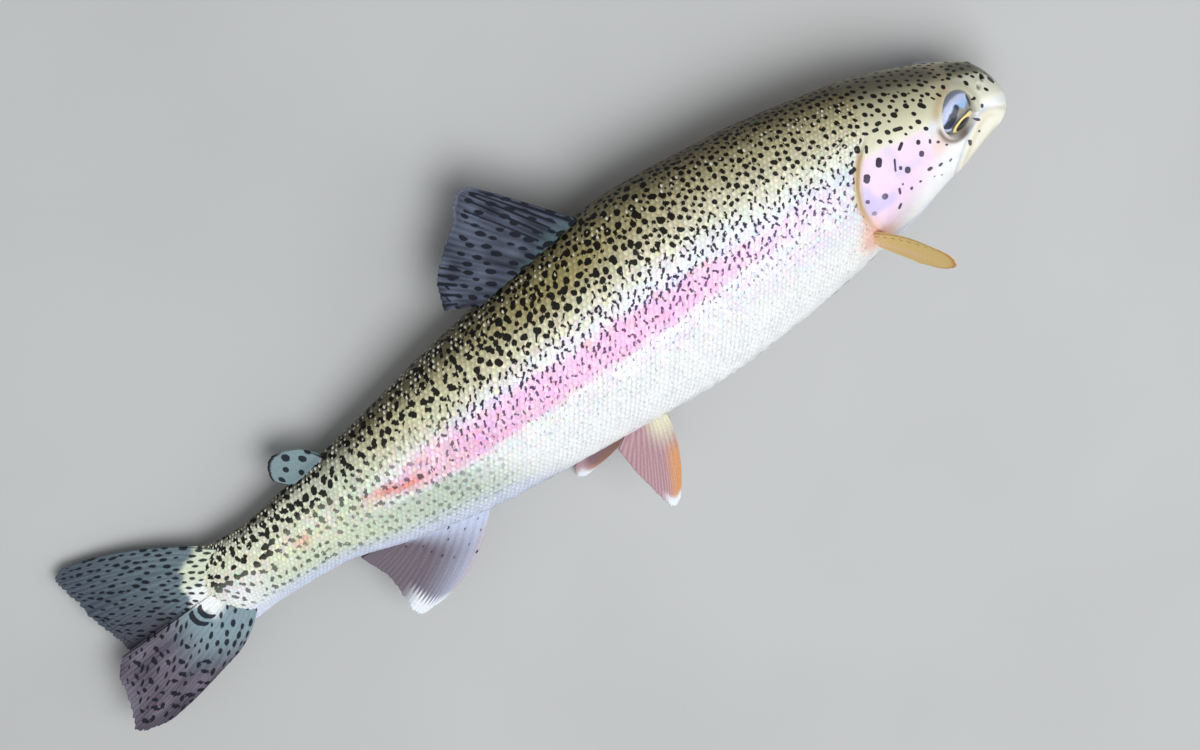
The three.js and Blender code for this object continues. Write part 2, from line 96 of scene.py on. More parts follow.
# Curves on the head, as [s, p] points.
GILL_EDGE = [
    (0.153, 0.083), (0.169, 0.0715), (0.187, 0.0525), (0.199, 0.031), (0.2045, 0.008), (0.2025, -0.018),
    (0.192, -0.044), (0.172, -0.066), (0.15, -0.081),
]
PREOPERCLE = [
    (0.136, 0.05), (0.149, 0.036), (0.156, 0.015), (0.158, -0.006), (0.1625, -0.0245), (0.156, -0.041),
    (0.138, -0.049), (0.115, -0.047),
]
SUBOPERCLE = [(0.1625, -0.03), (0.178, -0.034), (0.191, -0.034), (0.1985, -0.03)]
INTEROPERCLE = [(0.176, -0.054), (0.155, -0.057), (0.13, -0.058), (0.105, -0.056)]
CHEEK = [(0.094, 0.052), (0.103, 0.036), (0.105, 0.018), (0.1, 0.0), (0.088, -0.012), (0.07, -0.011)]
MOUTH = [
    (-0.02, -0.0125), (0.008, -0.0125), (0.024, -0.021), (0.04, -0.0295), (0.058, -0.038), (0.074, -0.0465),
    (0.0885, -0.05),
]
JAW_UNDERSIDE = [(0.03, -0.036), (0.06, -0.05), (0.1, -0.061), (0.135, -0.067), (0.16, -0.071)]
NOSTRILS = [(0.0225, 0.039, 0.8), (0.0305, 0.0385, 1.0)]

# Dark spots of the head: s, share round from the back and half width in mm. Long ones also have their
# reach along and across, in mm.
HEAD_SPOTS = [
    (0.167, 0.379, 0.95, 0.5, 1), (0.186, 0.418, 1, 0.4, 0.7), (0.177, 0.533, 1.05, 0.1, 0.2),
    (0.196, 0.511, 0.8), (0.195, 0.576, 0.9), (0.149, 0.45, 0.52, 0.1, 0.4), (0.143, 0.478, 0.93, 0.2, 0.5),
    (0.147, 0.576, 0.52, 0.1, 0.3), (0.154, 0.529, 0.28, 0.1, 0.4), (0.16, 0.552, 0.44, 0.2, 1.2),
    (0.166, 0.626, 0.52, 0.6, 0.8), (0.12, 0.381, 0.64, 0.2, 0.4), (0.122, 0.444, 0.8, 0.2, 0.5),
    (0.108, 0.41, 0.45, 0.2, 0.6), (0.1, 0.44, 0.62), (0.0925, 0.486, 0.54),
    (0.12, 0.548, 0.72, -0.4, -0.2), (0.107, 0.573, 0.6, -0.4, -0.3), (0.094, 0.603, 0.4, -0.4, -0.5),
    (0.118, 0.614, 0.42), (0.109, 0.654, 0.45), (0.135, 0.575, 0.57), (0.0665, 0.599, 0.55, 0.2, 1.1),
    (0.052, 0.572, 0.42, 0.1, 0.3), (0.0485, 0.48, 0.6, -0.2, 0), (0.037, 0.406, 0.48, 0.2, 0.5),
    (0.024, 0.286, 0.72), (0.0113, 0.166, 0.76, 0.4, 0.9), (0.041, 0.186, 0.68, 0.1, 0.4),
    (0.042, 0.316, 0.44, 0.2, 0.3), (0.042, 0.116, 0.78), (0.055, 0.107, 0.74),
    (0.066, 0.16, 0.6, 0.2, 0.4), (0.0755, 0.198, 0.53, -0.2, 0.4), (0.083, 0.206, 0.4, -0.3, 0.3),
    (0.092, 0.172, 0.64), (0.095, 0.132, 0.62, -0.4, 0.2), (0.086, 0.106, 0.8, -0.2, 0.2),
    (0.098, 0.221, 0.9, -0.4, 0.3), (0.11, 0.243, 0.78), (0.103, 0.178, 0.62), (0.113, 0.194, 0.92),
    (0.108, 0.136, 0.9), (0.117, 0.131, 0.84), (0.128, 0.172, 0.75), (0.129, 0.214, 1.04),
    (0.138, 0.198, 0.68), (0.133, 0.131, 0.84), (0.126, 0.105, 0.86), (0.141, 0.17, 0.88),
    (0.145, 0.139, 1), (0.136, 0.099, 0.95), (0.149, 0.181, 0.58), (0.155, 0.169, 0.84),
    (0.137, 0.232, 0.54), (0.148, 0.224, 0.65, -0.6, -0.2), (0.154, 0.246, 0.62, -0.6, -0.1),
    (0.144, 0.274, 0.91), (0.133, 0.279, 0.67, -1.2, -0.1), (0.12, 0.297, 0.67), (0.11, 0.288, 0.91),
    (0.106, 0.337, 0.82), (0.128, 0.316, 0.55), (0.156, 0.297, 0.85), (0.146, 0.317, 0.7),
    (0.139, 0.357, 0.5, 1, 1.2), (0.153, 0.425, 0.35, 0.8, 2.5), (0.172, 0.305, 0.52, 0.5, 1.1),
    (0.165, 0.244, 0.56, -0.5, 0.2), (0.159, 0.208, 0.76), (0.18, 0.292, 0.86, 0.2, 0.6),
    (0.168, 0.204, 0.78), (0.195, 0.364, 0.71, -0.9, -0.4), (0.02, 0.151, 0.56, 0.2, 0.7),
    (0.03, 0.143, 0.66),
]

# The lateral line and the pink band run at these shares of the half girth.
LATERAL_LINE = np.array([
    (0.0, 0.33), (0.2, 0.385), (0.23, 0.41), (0.32, 0.44), (0.5, 0.452), (0.8, 0.46), (1.02, 0.5),
])

rng = np.random.default_rng(11)


# ---- Curves ----
def smooth_along(table, column, at):
    """A cubic through a table's column against its first, with slopes limited so that it never overshoots."""
    xs, ys = table[:, 0], table[:, column]
    slope = np.diff(ys) / np.diff(xs)
    product = slope[:-1] * slope[1:]
    total = np.where(product > 0, slope[:-1] + slope[1:], 1.0)
    inner = np.where(product > 0, 2 * product / total, 0.0)
    tangent = np.concatenate([slope[:1], inner, slope[-1:]])
    x = np.clip(at, xs[0], xs[-1])
    i = np.clip(np.searchsorted(xs, x, side="left") - 1, 0, len(xs) - 2)
    width = xs[i + 1] - xs[i]
    t = (x - xs[i]) / width
    t2, t3 = t * t, t * t * t
    return (
        (2 * t3 - 3 * t2 + 1) * ys[i] + (t3 - 2 * t2 + t) * width * tangent[i]
        + (3 * t2 - 2 * t3) * ys[i + 1] + (t3 - t2) * width * tangent[i + 1]
    )


def curve_through(points, t):
    """The centripetal Catmull-Rom curve through the points, where t runs from 0 to 1."""
    points = np.asarray(points, float)
    count = len(points)
    padded = np.concatenate([[2 * points[0] - points[1]], points, [2 * points[-1] - points[-2]]])
    along = np.clip(np.asarray(t, float), 0, 1) * (count - 1)
    i = np.minimum(along.astype(int), count - 2)
    t = (along - i)[..., None]
    p0, p1, p2, p3 = (padded[i + k] for k in range(4))
    d0, d1, d2 = (
        np.maximum(np.sqrt(np.linalg.norm(b - a, axis=-1)), 1e-9)[..., None]
        for a, b in ((p0, p1), (p1, p2), (p2, p3))
    )
    m1 = ((p1 - p0) / d0 - (p2 - p0) / (d0 + d1) + (p2 - p1) / d1) * d1
    m2 = ((p2 - p1) / d1 - (p3 - p1) / (d1 + d2) + (p3 - p2) / d2) * d1
    return p1 + m1 * t + (3 * (p2 - p1) - 2 * m1 - m2) * t**2 + (2 * (p1 - p2) + m1 + m2) * t**3


def rise(x, low, high):
    """0 up to low, and 1 from high on."""
    t = np.clip((x - low) / (high - low), 0, 1)
    return t * t * (3 - 2 * t)


def fade(x, low, high):
    """1 up to low, and 0 from high on."""
    return 1 - rise(x, low, high)


def window(x, first, last):
    """1 between two smooth edges, each given as where it starts and where it ends."""
    return rise(x, *first) * fade(x, *last)


def bump(x, middle, width):
    return np.exp(-(((x - middle) / width) ** 2))


NOISE_CELLS = 256


def noise(x, y, seed):
    """Smooth noise from -1 to 1, with features one unit across."""
    table = np.random.default_rng(seed).uniform(-1, 1, (NOISE_CELLS, NOISE_CELLS))
    xi, yi = np.floor(x).astype(int), np.floor(y).astype(int)
    fx, fy = rise(x - xi, 0, 1), rise(y - yi, 0, 1)

    def corner(dx, dy):
        return table[(xi + dx) % NOISE_CELLS, (yi + dy) % NOISE_CELLS]

    near = corner(0, 0) * (1 - fx) + corner(1, 0) * fx
    far = corner(0, 1) * (1 - fx) + corner(1, 1) * fx
    return near * (1 - fy) + far * fy


def looked_up(table, i, j):
    """The table's value at row i and column j, which lie between whole numbers."""
    i = np.clip(i, 0, table.shape[0] - 1.001)
    j = np.clip(j, 0, table.shape[1] - 1.001)
    i0, j0 = i.astype(int), j.astype(int)
    fi, fj = i - i0, j - j0
    near = table[i0, j0] * (1 - fj) + table[i0, j0 + 1] * fj
    far = table[i0 + 1, j0] * (1 - fj) + table[i0 + 1, j0 + 1] * fj
    return near * (1 - fi) + far * fi


def distance_from(at, s, p):
    """Millimetres from a place, seen from the side."""
    return np.hypot(s - at[0], p - at[1]) * STANDARD_LENGTH / MM


def nearest_on(polyline, s, p):
    """Millimetres from each (s, p) to a polyline, and the share along it of the nearest place."""
    best = np.full(np.shape(s), np.inf)
    share = np.zeros(np.shape(s))
    steps = np.diff(polyline, axis=0)
    ends = np.concatenate([[0], np.cumsum(np.linalg.norm(steps, axis=1))])
    for (s0, p0), (ds, dp), start, end in zip(polyline, steps, ends, ends[1:]):
        t = np.clip(((s - s0) * ds + (p - p0) * dp) / (ds * ds + dp * dp), 0, 1)
        distance = np.hypot(s - s0 - t * ds, p - p0 - t * dp)
        closer = distance < best
        best = np.where(closer, distance, best)
        share = np.where(closer, (start + t * (end - start)) / ends[-1], share)
    return best * STANDARD_LENGTH / MM, share


def line_on(points, s, p):
    return nearest_on(curve_through(points, np.linspace(0, 1, 8 * len(points))), s, p)


def depth_inside(outline, s, p):
    """Millimetres inside a closed outline, negative outside it."""
    corners = np.asarray(outline, float)
    closed = np.concatenate([corners, corners[:1]])
    inside = np.zeros(np.shape(s), bool)
    for (s0, p0), (s1, p1) in zip(closed, closed[1:]):
        if p0 != p1:
            crosses = ((p0 > p) != (p1 > p)) & (s < s0 + (p - p0) * (s1 - s0) / (p1 - p0))
            inside ^= crosses
    distance, _ = nearest_on(closed, s, p)
    return np.where(inside, distance, -distance)


# ---- The body's surface ----
def place(s, p, q):
    """The fish's coordinates to the row frame, in metres."""
    roll = np.radians(smooth_along(POSE, 2, s))
    lift = smooth_along(POSE, 1, s)
    x = -s * STANDARD_LENGTH
    y = (p * np.cos(roll) - q * np.sin(roll)) * STANDARD_LENGTH
    z = (lift + p * np.sin(roll) + q * np.cos(roll)) * STANDARD_LENGTH
    return np.stack([x, y, z], axis=-1) + SHIFT


def section(s, angle):
    """(p, q) of the section at s: angle 0 is the right flank and a quarter turn the back."""
    near = np.clip(s / SNOUT_ROUNDING, 0, 1)
    closing = np.sqrt(1 - (1 - near) ** 2)
    top, bottom, half, widest = (smooth_along(STATIONS, column, s) for column in (1, 2, 3, 4))
    up, side = np.sin(angle), np.cos(angle)
    power = np.where(up > 0, smooth_along(STATIONS, 5, s), smooth_along(STATIONS, 6, s))
    height = np.where(up > 0, top - widest, widest - bottom) * closing
    return (
        widest + height * np.sign(up) * np.abs(up) ** (2 / power),
        half * closing * np.sign(side) * np.abs(side) ** (2 / power),
    )


def stalk_end(s, p):
    widest, bottom = STATIONS[-1, 4], STATIONS[-1, 2]
    off_middle = (p - widest) / (widest - bottom)
    return s - TAIL_STALK_BULGE * rise(s, BODY_END - 0.1, BODY_END) * off_middle**2


def unrolled():
    """Places along s, the section's angle against the share of the half girth there, and the half girths."""
    s = np.linspace(1e-5, BODY_END, 421)
    angles = np.linspace(np.pi / 2, -np.pi / 2, 901)
    p, q = section(s[:, None], angles[None, :])
    run = np.concatenate([np.zeros((len(s), 1)), np.hypot(np.diff(p), np.diff(q)).cumsum(axis=1)], axis=1)
    shares = np.linspace(0, 1, 201)
    table = np.array([np.interp(shares * row[-1], row, angles) for row in run])
    return s, table, run[:, -1] * STANDARD_LENGTH


RINGS_AT, RING_ANGLES, HALF_GIRTHS = unrolled()


def half_girth(s):
    return np.interp(s, RINGS_AT, HALF_GIRTHS)


def wrapped(w):
    """w brought between -1 and 1: it goes on round the belly."""
    return (w + 1) % 2 - 1


def share_of(w):
    """The share of the half girth round from the back, on either side."""
    return np.abs(wrapped(w))


def section_at(s, w):
    """(p, q) on the surface at s and w."""
    s = np.clip(s, RINGS_AT[0], RINGS_AT[-1])
    w = wrapped(w)
    ring = (s - RINGS_AT[0]) / (RINGS_AT[1] - RINGS_AT[0])
    p, q = section(s, looked_up(RING_ANGLES, ring, np.abs(w) * (RING_ANGLES.shape[1] - 1)))
    return p, q * np.where(w < 0, -1, 1)


def surface(s, w):
    p, q = section_at(s, w)
    return place(stalk_end(np.clip(s, 0, BODY_END), p), p, q)


def surface_normal(s, w):
    along = surface(s + 0.0012, w) - surface(s - 0.0012, w)
    round_ = surface(s, w + 0.006) - surface(s, w - 0.006)
    normal = np.cross(along, round_)
    return normal / np.maximum(np.linalg.norm(normal, axis=-1, keepdims=True), 1e-12)


def eye_frame(side):
    """The eye's centre in the row frame, and the way that it looks."""
    mirror = np.array((1, 1, side))
    centre = place(*(EYE_CENTRE * mirror))
    ahead = place(*((EYE_CENTRE + EYE_LOOKS * 0.01) * mirror))
    looks = ahead - centre
    return centre, looks / np.linalg.norm(looks)


SHIFT = np.zeros(3)
SHIFT = np.mean(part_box("eye_right"), axis=0) - place(*EYE_CENTRE)


# ---- Mesh helpers ----
def new_piece(name, points, face_groups, uvs=None):
    """A mesh object on the root body, from points, and arrays of faces with equal corner counts."""
    mesh = bpy.data.meshes.new(name)
    corners = np.concatenate([faces.ravel() for faces in face_groups]).astype(np.int32)
    totals = np.concatenate([np.full(len(faces), faces.shape[1]) for faces in face_groups])
    starts = np.concatenate([[0], np.cumsum(totals)[:-1]]).astype(np.int32)
    mesh.vertices.add(len(points))
    mesh.vertices.foreach_set("co", np.ascontiguousarray(points, np.float32).ravel())
    mesh.loops.add(len(corners))
    mesh.loops.foreach_set("vertex_index", corners)
    mesh.polygons.add(len(starts))
    mesh.polygons.foreach_set("loop_start", starts)
    mesh.update(calc_edges=True)
    mesh.shade_smooth()
    if uvs is not None:
        layer = mesh.uv_layers.new(name="OFBake")
        flat = uvs[corners] if len(uvs) == len(points) else uvs
        layer.data.foreach_set("uv", np.ascontiguousarray(flat, np.float32).ravel())
    obj = bpy.data.objects.new(name, mesh)
    bpy.context.collection.objects.link(obj)
    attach(obj, "root")
    return obj


def give(obj, **layers):
    """Stores layers of one number or three numbers for each point."""
    for name, values in layers.items():
        values = np.ascontiguousarray(values, np.float32)
        kind, field = ("FLOAT", "value") if values.ndim == 1 else ("FLOAT_VECTOR", "vector")
        layer = obj.data.attributes.new(name, kind, "POINT")
        layer.data.foreach_set(field, values.ravel())


def mark_sharp(obj, sharp_keys):
    """Splits the shading along edges, whose keys are the lower end * the count of points + the higher end."""
    mesh = obj.data
    ends = np.empty(len(mesh.edges) * 2, np.int64)
    mesh.edges.foreach_get("vertices", ends)
    ends = np.sort(ends.reshape(-1, 2), axis=1)
    keys = ends[:, 0] * len(mesh.vertices) + ends[:, 1]
    layer = mesh.attributes.new("sharp_edge", "BOOLEAN", "EDGE")
    layer.data.foreach_set("value", np.isin(keys, sharp_keys))


def crossed(rows, columns):
    """Every row's value with every column's, as two flat arrays stored row by row."""
    return (grid.ravel() for grid in np.meshgrid(rows, columns, indexing="ij"))


def grid_faces(rows, columns, wrap=False):
    """Quads over a grid of points stored row by row."""
    i = np.arange(rows - 1)[:, None]
    j = np.arange(columns if wrap else columns - 1)[None, :]
    k = (j + 1) % columns
    here, ahead = i * columns, (i + 1) * columns
    return np.stack([here + j, here + k, ahead + k, ahead + j], axis=-1).reshape(-1, 4)


# ---- Colours ----
def tone(red, green, blue):
    """A colour as a screen shows it, in 0 to 255, to the renderer's linear one."""
    value = np.array((red, green, blue)) / 255
    return np.where(value <= 0.04045, value / 12.92, ((value + 0.055) / 1.055) ** 2.4)


BACK = tone(84, 77, 52)
BACK_GOLD = tone(130, 120, 86)
OLIVE = tone(198, 188, 148)
OLIVE_PALE = tone(230, 224, 194)
OLIVE_BRIGHT = tone(236, 236, 184)
STRAW = tone(240, 234, 198)
CREAM = tone(238, 239, 224)
GOLD = tone(172, 158, 100)
STALK_GREEN = tone(214, 223, 198)
STALK_GREY = tone(128, 128, 116)
STALK_OLIVE = tone(190, 194, 172)
STALK_PALE = tone(236, 236, 208)
SILVER = tone(230, 236, 244)
LILAC = tone(240, 236, 246)
PINK = tone(243, 182, 219)
FRINGE = tone(222, 210, 244)
PINK_PALE = tone(247, 202, 218)
CORAL = tone(232, 130, 112)
WHITE = tone(246, 247, 247)
BELLY_GREEN = tone(200, 212, 196)
BELLY_BLUE = tone(208, 216, 234)
HEAD_OLIVE = tone(102, 98, 74)
HEAD_PALE = tone(228, 228, 210)
HEAD_GREY = tone(186, 182, 148)
HEAD_TAN = tone(220, 216, 186)
GILL_LILAC = tone(243, 212, 243)
GILL_BLUE = tone(212, 198, 240)
RIM_TAN = tone(208, 180, 136)
FLESH = tone(243, 196, 178)
LIP = tone(246, 243, 226)
MUZZLE_TAN = tone(214, 196, 160)
# Painted highlight: the white of the glints painted onto the scales.
PAINTED_GLINT = tone(255, 252, 232)
SHADE_BROWN = tone(122, 106, 90)
BLUE_WHITE = tone(226, 232, 244)
MARK_BLACK = tone(15, 12, 12)
MARK_PURPLE = tone(62, 42, 92)
MARK_GREY = tone(74, 78, 70)


def ramp(x, stops):
    """Colours along x, from rows of (place, colour)."""
    places = [stop[0] for stop in stops]
    return np.stack([np.interp(x, places, [stop[1][c] for stop in stops]) for c in range(3)], axis=-1)


def mixed(a, b, share):
    share = np.asarray(share)[..., None]
    return a * (1 - share) + b * share


def layered(tint, *layers):
    """The tint under layers of (colour, share), each laid over the ones before it."""
    for colour, share in layers:
        tint = mixed(tint, colour, share)
    return tint


# Colours from the back (0) to the belly (1).
FRONT_STOPS = [
    (0, BACK), (0.07, BACK_GOLD), (0.15, OLIVE), (0.24, OLIVE_PALE), (0.31, CREAM), (0.37, SILVER),
    (0.46, LILAC), (0.56, LILAC), (0.64, WHITE), (1, WHITE),
]
REAR_STOPS = [
    (0, BACK), (0.095, BACK_GOLD), (0.155, OLIVE), (0.24, OLIVE_PALE), (0.33, CREAM), (0.41, WHITE),
    (1, WHITE),
]
REAR_BELLY_STOPS = [(0, BELLY_GREEN), (0.72, BELLY_GREEN), (0.84, BELLY_BLUE), (1, BELLY_BLUE)]
STALK_STOPS = [
    (0, BACK), (0.06, STALK_GREY), (0.15, STALK_OLIVE), (0.24, STALK_GREEN), (0.72, STALK_GREEN),
    (0.86, BELLY_BLUE), (1, BELLY_BLUE),
]
HEAD_STOPS = [
    (0, BACK), (0.06, HEAD_OLIVE), (0.15, HEAD_GREY), (0.29, HEAD_TAN), (0.36, LIP), (0.42, WHITE),
    (1, WHITE),
]
# Rosy skin round the base of the pectoral fin: (strength, s, p, size in mm).
ROSY_SPOTS = [(1.6, 0.205, -0.042, 5.2), (0.7, 0.203, -0.02, 4.5), (0.5, 0.187, -0.047, 4)]
CORAL_STREAK_AT = 0.7725


def spot(s, p, at, up, size):
    """1 at a place on the head, falling off over the size in mm."""
    return np.exp(-(((s - at) ** 2 + (p - up) ** 2) * (STANDARD_LENGTH / MM / size) ** 2))


def ground_tint(s, w, f):
    """The body's colours without the band along the lateral line."""
    p, _ = section_at(s, w)
    ragged = f + 0.03 * noise(s * 40, w * 20, 7)
    below_band = rise(ragged, 0.52, 0.6) * rise(s + 0.25 * (f - 0.6), 0.645, 0.735)
    patchy = bump(f, 0.29, 0.055) * window(s, (0.28, 0.36), (0.62, 0.7))
    mottle = noise(s * 75, w * 42, 12)
    return layered(
        mixed(ramp(f, FRONT_STOPS), ramp(f, REAR_STOPS), rise(s, 0.42, 0.62)),
        (GOLD, 0.95 * bump(s, 0.51, 0.085) * bump(f, 0.14, 0.075)),
        (ramp(f, REAR_BELLY_STOPS), below_band),
        (ramp(f, STALK_STOPS), rise(s, 0.74, 0.84)),
        (STALK_PALE, 0.85 * rise(s, 0.8, 0.9) * window(f, (0.08, 0.14), (0.5, 0.7))),
        (WHITE, bump(s, 0.985, 0.035) * bump(p, -0.045, 0.022)),
        (BACK, 0.6 * fade(f, 0.06, 0.13) * window(s, (0.6, 0.7), (0.92, 0.96))),
        (OLIVE_BRIGHT, 0.4 * bump(s, 0.71, 0.08) * bump(f, 0.21, 0.07)),
        (GOLD, 0.5 * bump(s, 0.53, 0.09) * bump(f, 0.19, 0.07)),
        (STRAW, 0.62 * bump(s, 0.57, 0.2) * bump(f, 0.285, 0.055)),
        (OLIVE_PALE, 0.75 * patchy * rise(mottle, 0.45, 0.6)),
        (FRINGE, 0.5 * patchy * rise(f, 0.27, 0.33) * fade(mottle, 0.3, 0.45)),
    )


def body_tint(s, w, f):
    """The body's colours with the pink band, its lilac fringe and the coral flecks, and painted shade on the
    middle of the flank and the top of the back.
    """
    girth = half_girth(s) / MM
    off_band = (smooth_along(LATERAL_LINE, 1, s) - f) * girth + 1.1 * noise(s * 60, w * 20, 5)
    half_band = 3.9 + 3.6 * rise(s, 0.26, 0.48) - 4.2 * rise(s, 0.7, 0.82)
    band = rise(half_band + 2.6 - np.abs(off_band), 0, 5.2)
    band = band * (0.35 * rise(s, 0.2, 0.25) + 0.65 * rise(s, 0.25, 0.42))
    band = band * fade(s + 0.012 * noise(s * 90, w * 90, 10), 0.76, 0.83)
    fringe = bump(off_band, half_band + 1.8, 1.7) * window(s, (0.26, 0.34), (0.64, 0.76))
    flecks = bump(off_band, half_band, 1.0) * (noise(s * 90, w * 60, 6) > 0.55)
    streak = np.clip(1.5 * bump(s, CORAL_STREAK_AT, 0.028), 0, 1)
    streak = streak * bump(off_band + 1.2 - 70 * (s - CORAL_STREAK_AT), 0, 2.3)
    tint = layered(
        ground_tint(s, w, f),
        (mixed(PINK, PINK_PALE, rise(s, 0.66, 0.74)), 0.9 * band),
        (FRINGE, 0.75 * fringe * (0.5 + noise(s * 70, w * 50, 9))),
        (CORAL, 0.5 * flecks * window(s, (0.24, 0.3), (0.5, 0.6))),
        (CORAL, 0.8 * streak),
        (CORAL, 0.5 * bump(s, 0.89, 0.01) * bump(off_band, 0, 1.6)),
    )
    # Painted shade: the middle of the flank and the top of the back are darkened.
    flank_shade = 0.1 * bump(s, 0.43, 0.15) * bump(f, 0.41, 0.08)
    back_shade = 0.17 * bump(s, 0.6, 0.17) * bump(f, 0.08, 0.05)
    return tint * (1 - flank_shade - back_shade)[..., None]


def head_tint(s, f, p):
    """The head's colours: gill cover, skin round the eye, nostrils and upper jaw."""
    before_eye = fade(s, 0.055, 0.085) * window(f, (0.09, 0.14), (0.3, 0.36))
    lips = fade(p, -0.012, 0.012) * window(s, (0, 0.01), (0.02, 0.05))
    cover = rise(s, 0.093, 0.118) * rise(f, 0.31, 0.36) * rise(p + 0.6 * s, 0.045, 0.09)
    cloud = noise(s * 46, p * 46, 8)
    behind_eye, above_eye = s - EYE_CENTRE[0], p - EYE_CENTRE[1]
    off = distance_from(EYE_CENTRE, s, p)
    above_behind = rise(behind_eye + above_eye, 0.004, 0.024) * rise(above_eye, -0.006, 0.012)
    bone = depth_inside(UPPER_JAW_BONE, s, p)
    return layered(
        ramp(f, HEAD_STOPS),
        (HEAD_PALE, 0.75 * before_eye),
        (LIP, lips),
        (BELLY_BLUE, 0.8 * rise(-p, 0.046, 0.056)),
        (mixed(GILL_LILAC, GILL_BLUE, rise(cloud, 0.25, 0.7)), cover * (0.8 + 0.2 * cloud)),
        (RIM_TAN * 0.8, 0.7 * bump(off, 10.2, 2.0) * above_behind),
        (HEAD_GREY * 0.85, 0.6 * bump(off, 9.6, 1.8) * rise(-behind_eye, 0.004, 0.016) * (p > 0.02)),
        # Pale bluish skin behind and above the eye, with a painted highlight on it.
        (BLUE_WHITE, 0.85 * spot(s, p, 0.0975, 0.043, 2.6)),
        (FLESH * 0.93, 0.6 * spot(s, p, 0.098, 0.022, 4.5)),
        # Painted shade: a dark brown crescent in the crease behind and below the eye's opening.
        (SHADE_BROWN, 0.95 * bump(off, 9.1, 1.1) * rise(behind_eye - 1.4 * above_eye, 0.012, 0.026)),
        # Painted shade inside the nostrils.
        *((SHADE_BROWN * 0.35, 0.85 * spot(s, p, at, up, 0.7 * size)) for at, up, size in NOSTRILS),
        (LIP, rise(bone, -0.4, 0.4)),
        (MUZZLE_TAN, 0.5 * bump(bone, 2.6, 1.5) * rise(s, 0.018, 0.04)),
        (BLUE_WHITE * 0.72, 0.75 * bump(bone, -0.6, 0.9) * (p > -0.045) * rise(s, 0.024, 0.04)),
    )


def skin_tint(s, w):
    """The colour under the dark marks."""
    f = share_of(w)
    p, _ = section_at(s, w)
    rim, along_rim = line_on(GILL_EDGE, s, p)
    rim_tint = mixed(RIM_TAN, FLESH, rise(along_rim, 0.45, 0.75))
    rosy = sum(strength * spot(s, p, at, up, size) for strength, at, up, size in ROSY_SPOTS)
    return layered(
        body_tint(s, w, f),
        (head_tint(s, f, p), rise(depth_inside(HEAD_OUTLINE, s, p), -0.5, 0.5)),
        (rim_tint, bump(rim, 0, 1.4) * window(along_rim, (0.1, 0.2), (0.72, 0.84))),
        (FLESH, 0.85 * np.clip(rosy, 0, 1)),
    )


def shine_of(s, w):
    """How silvery the skin is, from 0 to 1."""
    return bump(share_of(w), 0.42, 0.17) * rise(s, 0.18, 0.25)


# ---- Dark marks ----
CANVAS_STEP = 0.25
CANVAS_LENGTH = BODY_END * STANDARD_LENGTH / MM + 4
CANVAS_HALF = 122.0
# Depth where no mark is near, how far a mark may reach, and how much wider than listed the head's spots are.
NO_MARK = -3.0
MARK_REACH = 4.5
HEAD_SPOT_GROWTH = 1.18
# The field of marks: margin at the snout and the tail in mm, and step from row to row and jitter in spacings.
FIELD_MARGIN = 5.0
ROW_STEP = 0.87
JITTER = 0.22
EYE_CLEARANCE = 11
RAGGED_EDGE = 0.16


def mark_spacing(s):
    """Millimetres between marks along and across the body."""
    behind_head = 0.3 * fade(s, 0.2, 0.26) + 0.4 * fade(s, 0.13, 0.18)
    return 3.0 + behind_head + 0.06 * rise(s, 0.24, 0.5) + 0.85 * rise(s, 0.6, 0.72)


def mark_size(s, share):
    """A mark's usual radius in mm: the largest are on the back, round the dorsal fin."""
    along = 0.92 + 0.66 * rise(s, 0.32, 0.46) - 0.06 * rise(s, 0.6, 0.72)
    along = along * (1 + 0.24 * bump(s, 0.54, 0.13) * bump(share, 0.15, 0.07))
    return along * (1 - 0.45 * rise(share, 0.23, 0.33) * fade(s, 0.7, 0.85))


def scattered_marks():
    """Rows of (u, v, s, share) in a jittered, staggered field: u and v are mm along and round the body."""
    rows = []
    u, turn = FIELD_MARGIN, 0
    while u < CANVAS_LENGTH - FIELD_MARGIN:
        s = u * MM / STANDARD_LENGTH
        spacing = float(mark_spacing(s))
        girth = float(half_girth(s)) / MM
        v = np.arange(-girth, girth, spacing) + (turn % 2) * spacing / 2
        jitter = rng.uniform(-JITTER, JITTER, (2, len(v))) * spacing
        rows.append(np.stack([u + jitter[0], v + jitter[1]], axis=1))
        u += spacing * ROW_STEP
        turn += 1
    places = np.concatenate(rows)
    s = places[:, 0] * MM / STANDARD_LENGTH
    share = np.abs(places[:, 1]) / (half_girth(s) / MM)
    return np.column_stack([places, s, share])


def lean_of(side):
    """Most marks follow one diagonal of the scales, and some go straight across or along the other."""
    return side * rng.choice((0.57, 0.0, -0.6), p=(0.64, 0.2, 0.16)) + rng.normal(0, 0.12)


def turned(lean):
    """The matrix that turns rows of (along, across) by a lean in radians."""
    return np.array(((math.cos(lean), math.sin(lean)), (-math.sin(lean), math.cos(lean))))


def blot_strokes(radius, long, lean):
    """A lobed blot: short thick strokes near one line, as (u0, v0, u1, v1, half width)."""
    strokes = []
    for _ in range(4):
        ends = rng.uniform(-0.42, 0.42, (2, 2)) * (1, long) * radius @ turned(lean)
        strokes.append((*ends[0], *ends[1], radius * rng.uniform(0.58, 0.76)))
    return strokes


def forked_strokes(length, half_width, lean):
    """A thin mark with a knob and one to three ticks that branch off it along the other diagonal."""
    du, dv = length * math.sin(lean), length * math.cos(lean)
    strokes = [(-du, -dv, du, dv, half_width), (-du, -dv, -du, -dv, half_width * 1.75)]
    for _ in range(rng.integers(1, 4)):
        start = rng.uniform(-0.8, 0.8)
        turn = lean - rng.choice((-1, 1)) * rng.uniform(0.8, 1.3)
        reach = length * rng.uniform(0.5, 0.95)
        strokes.append((
            start * du, start * dv, start * du + reach * math.sin(turn), start * dv + reach * math.cos(turn),
            half_width * 0.9,
        ))
    return strokes


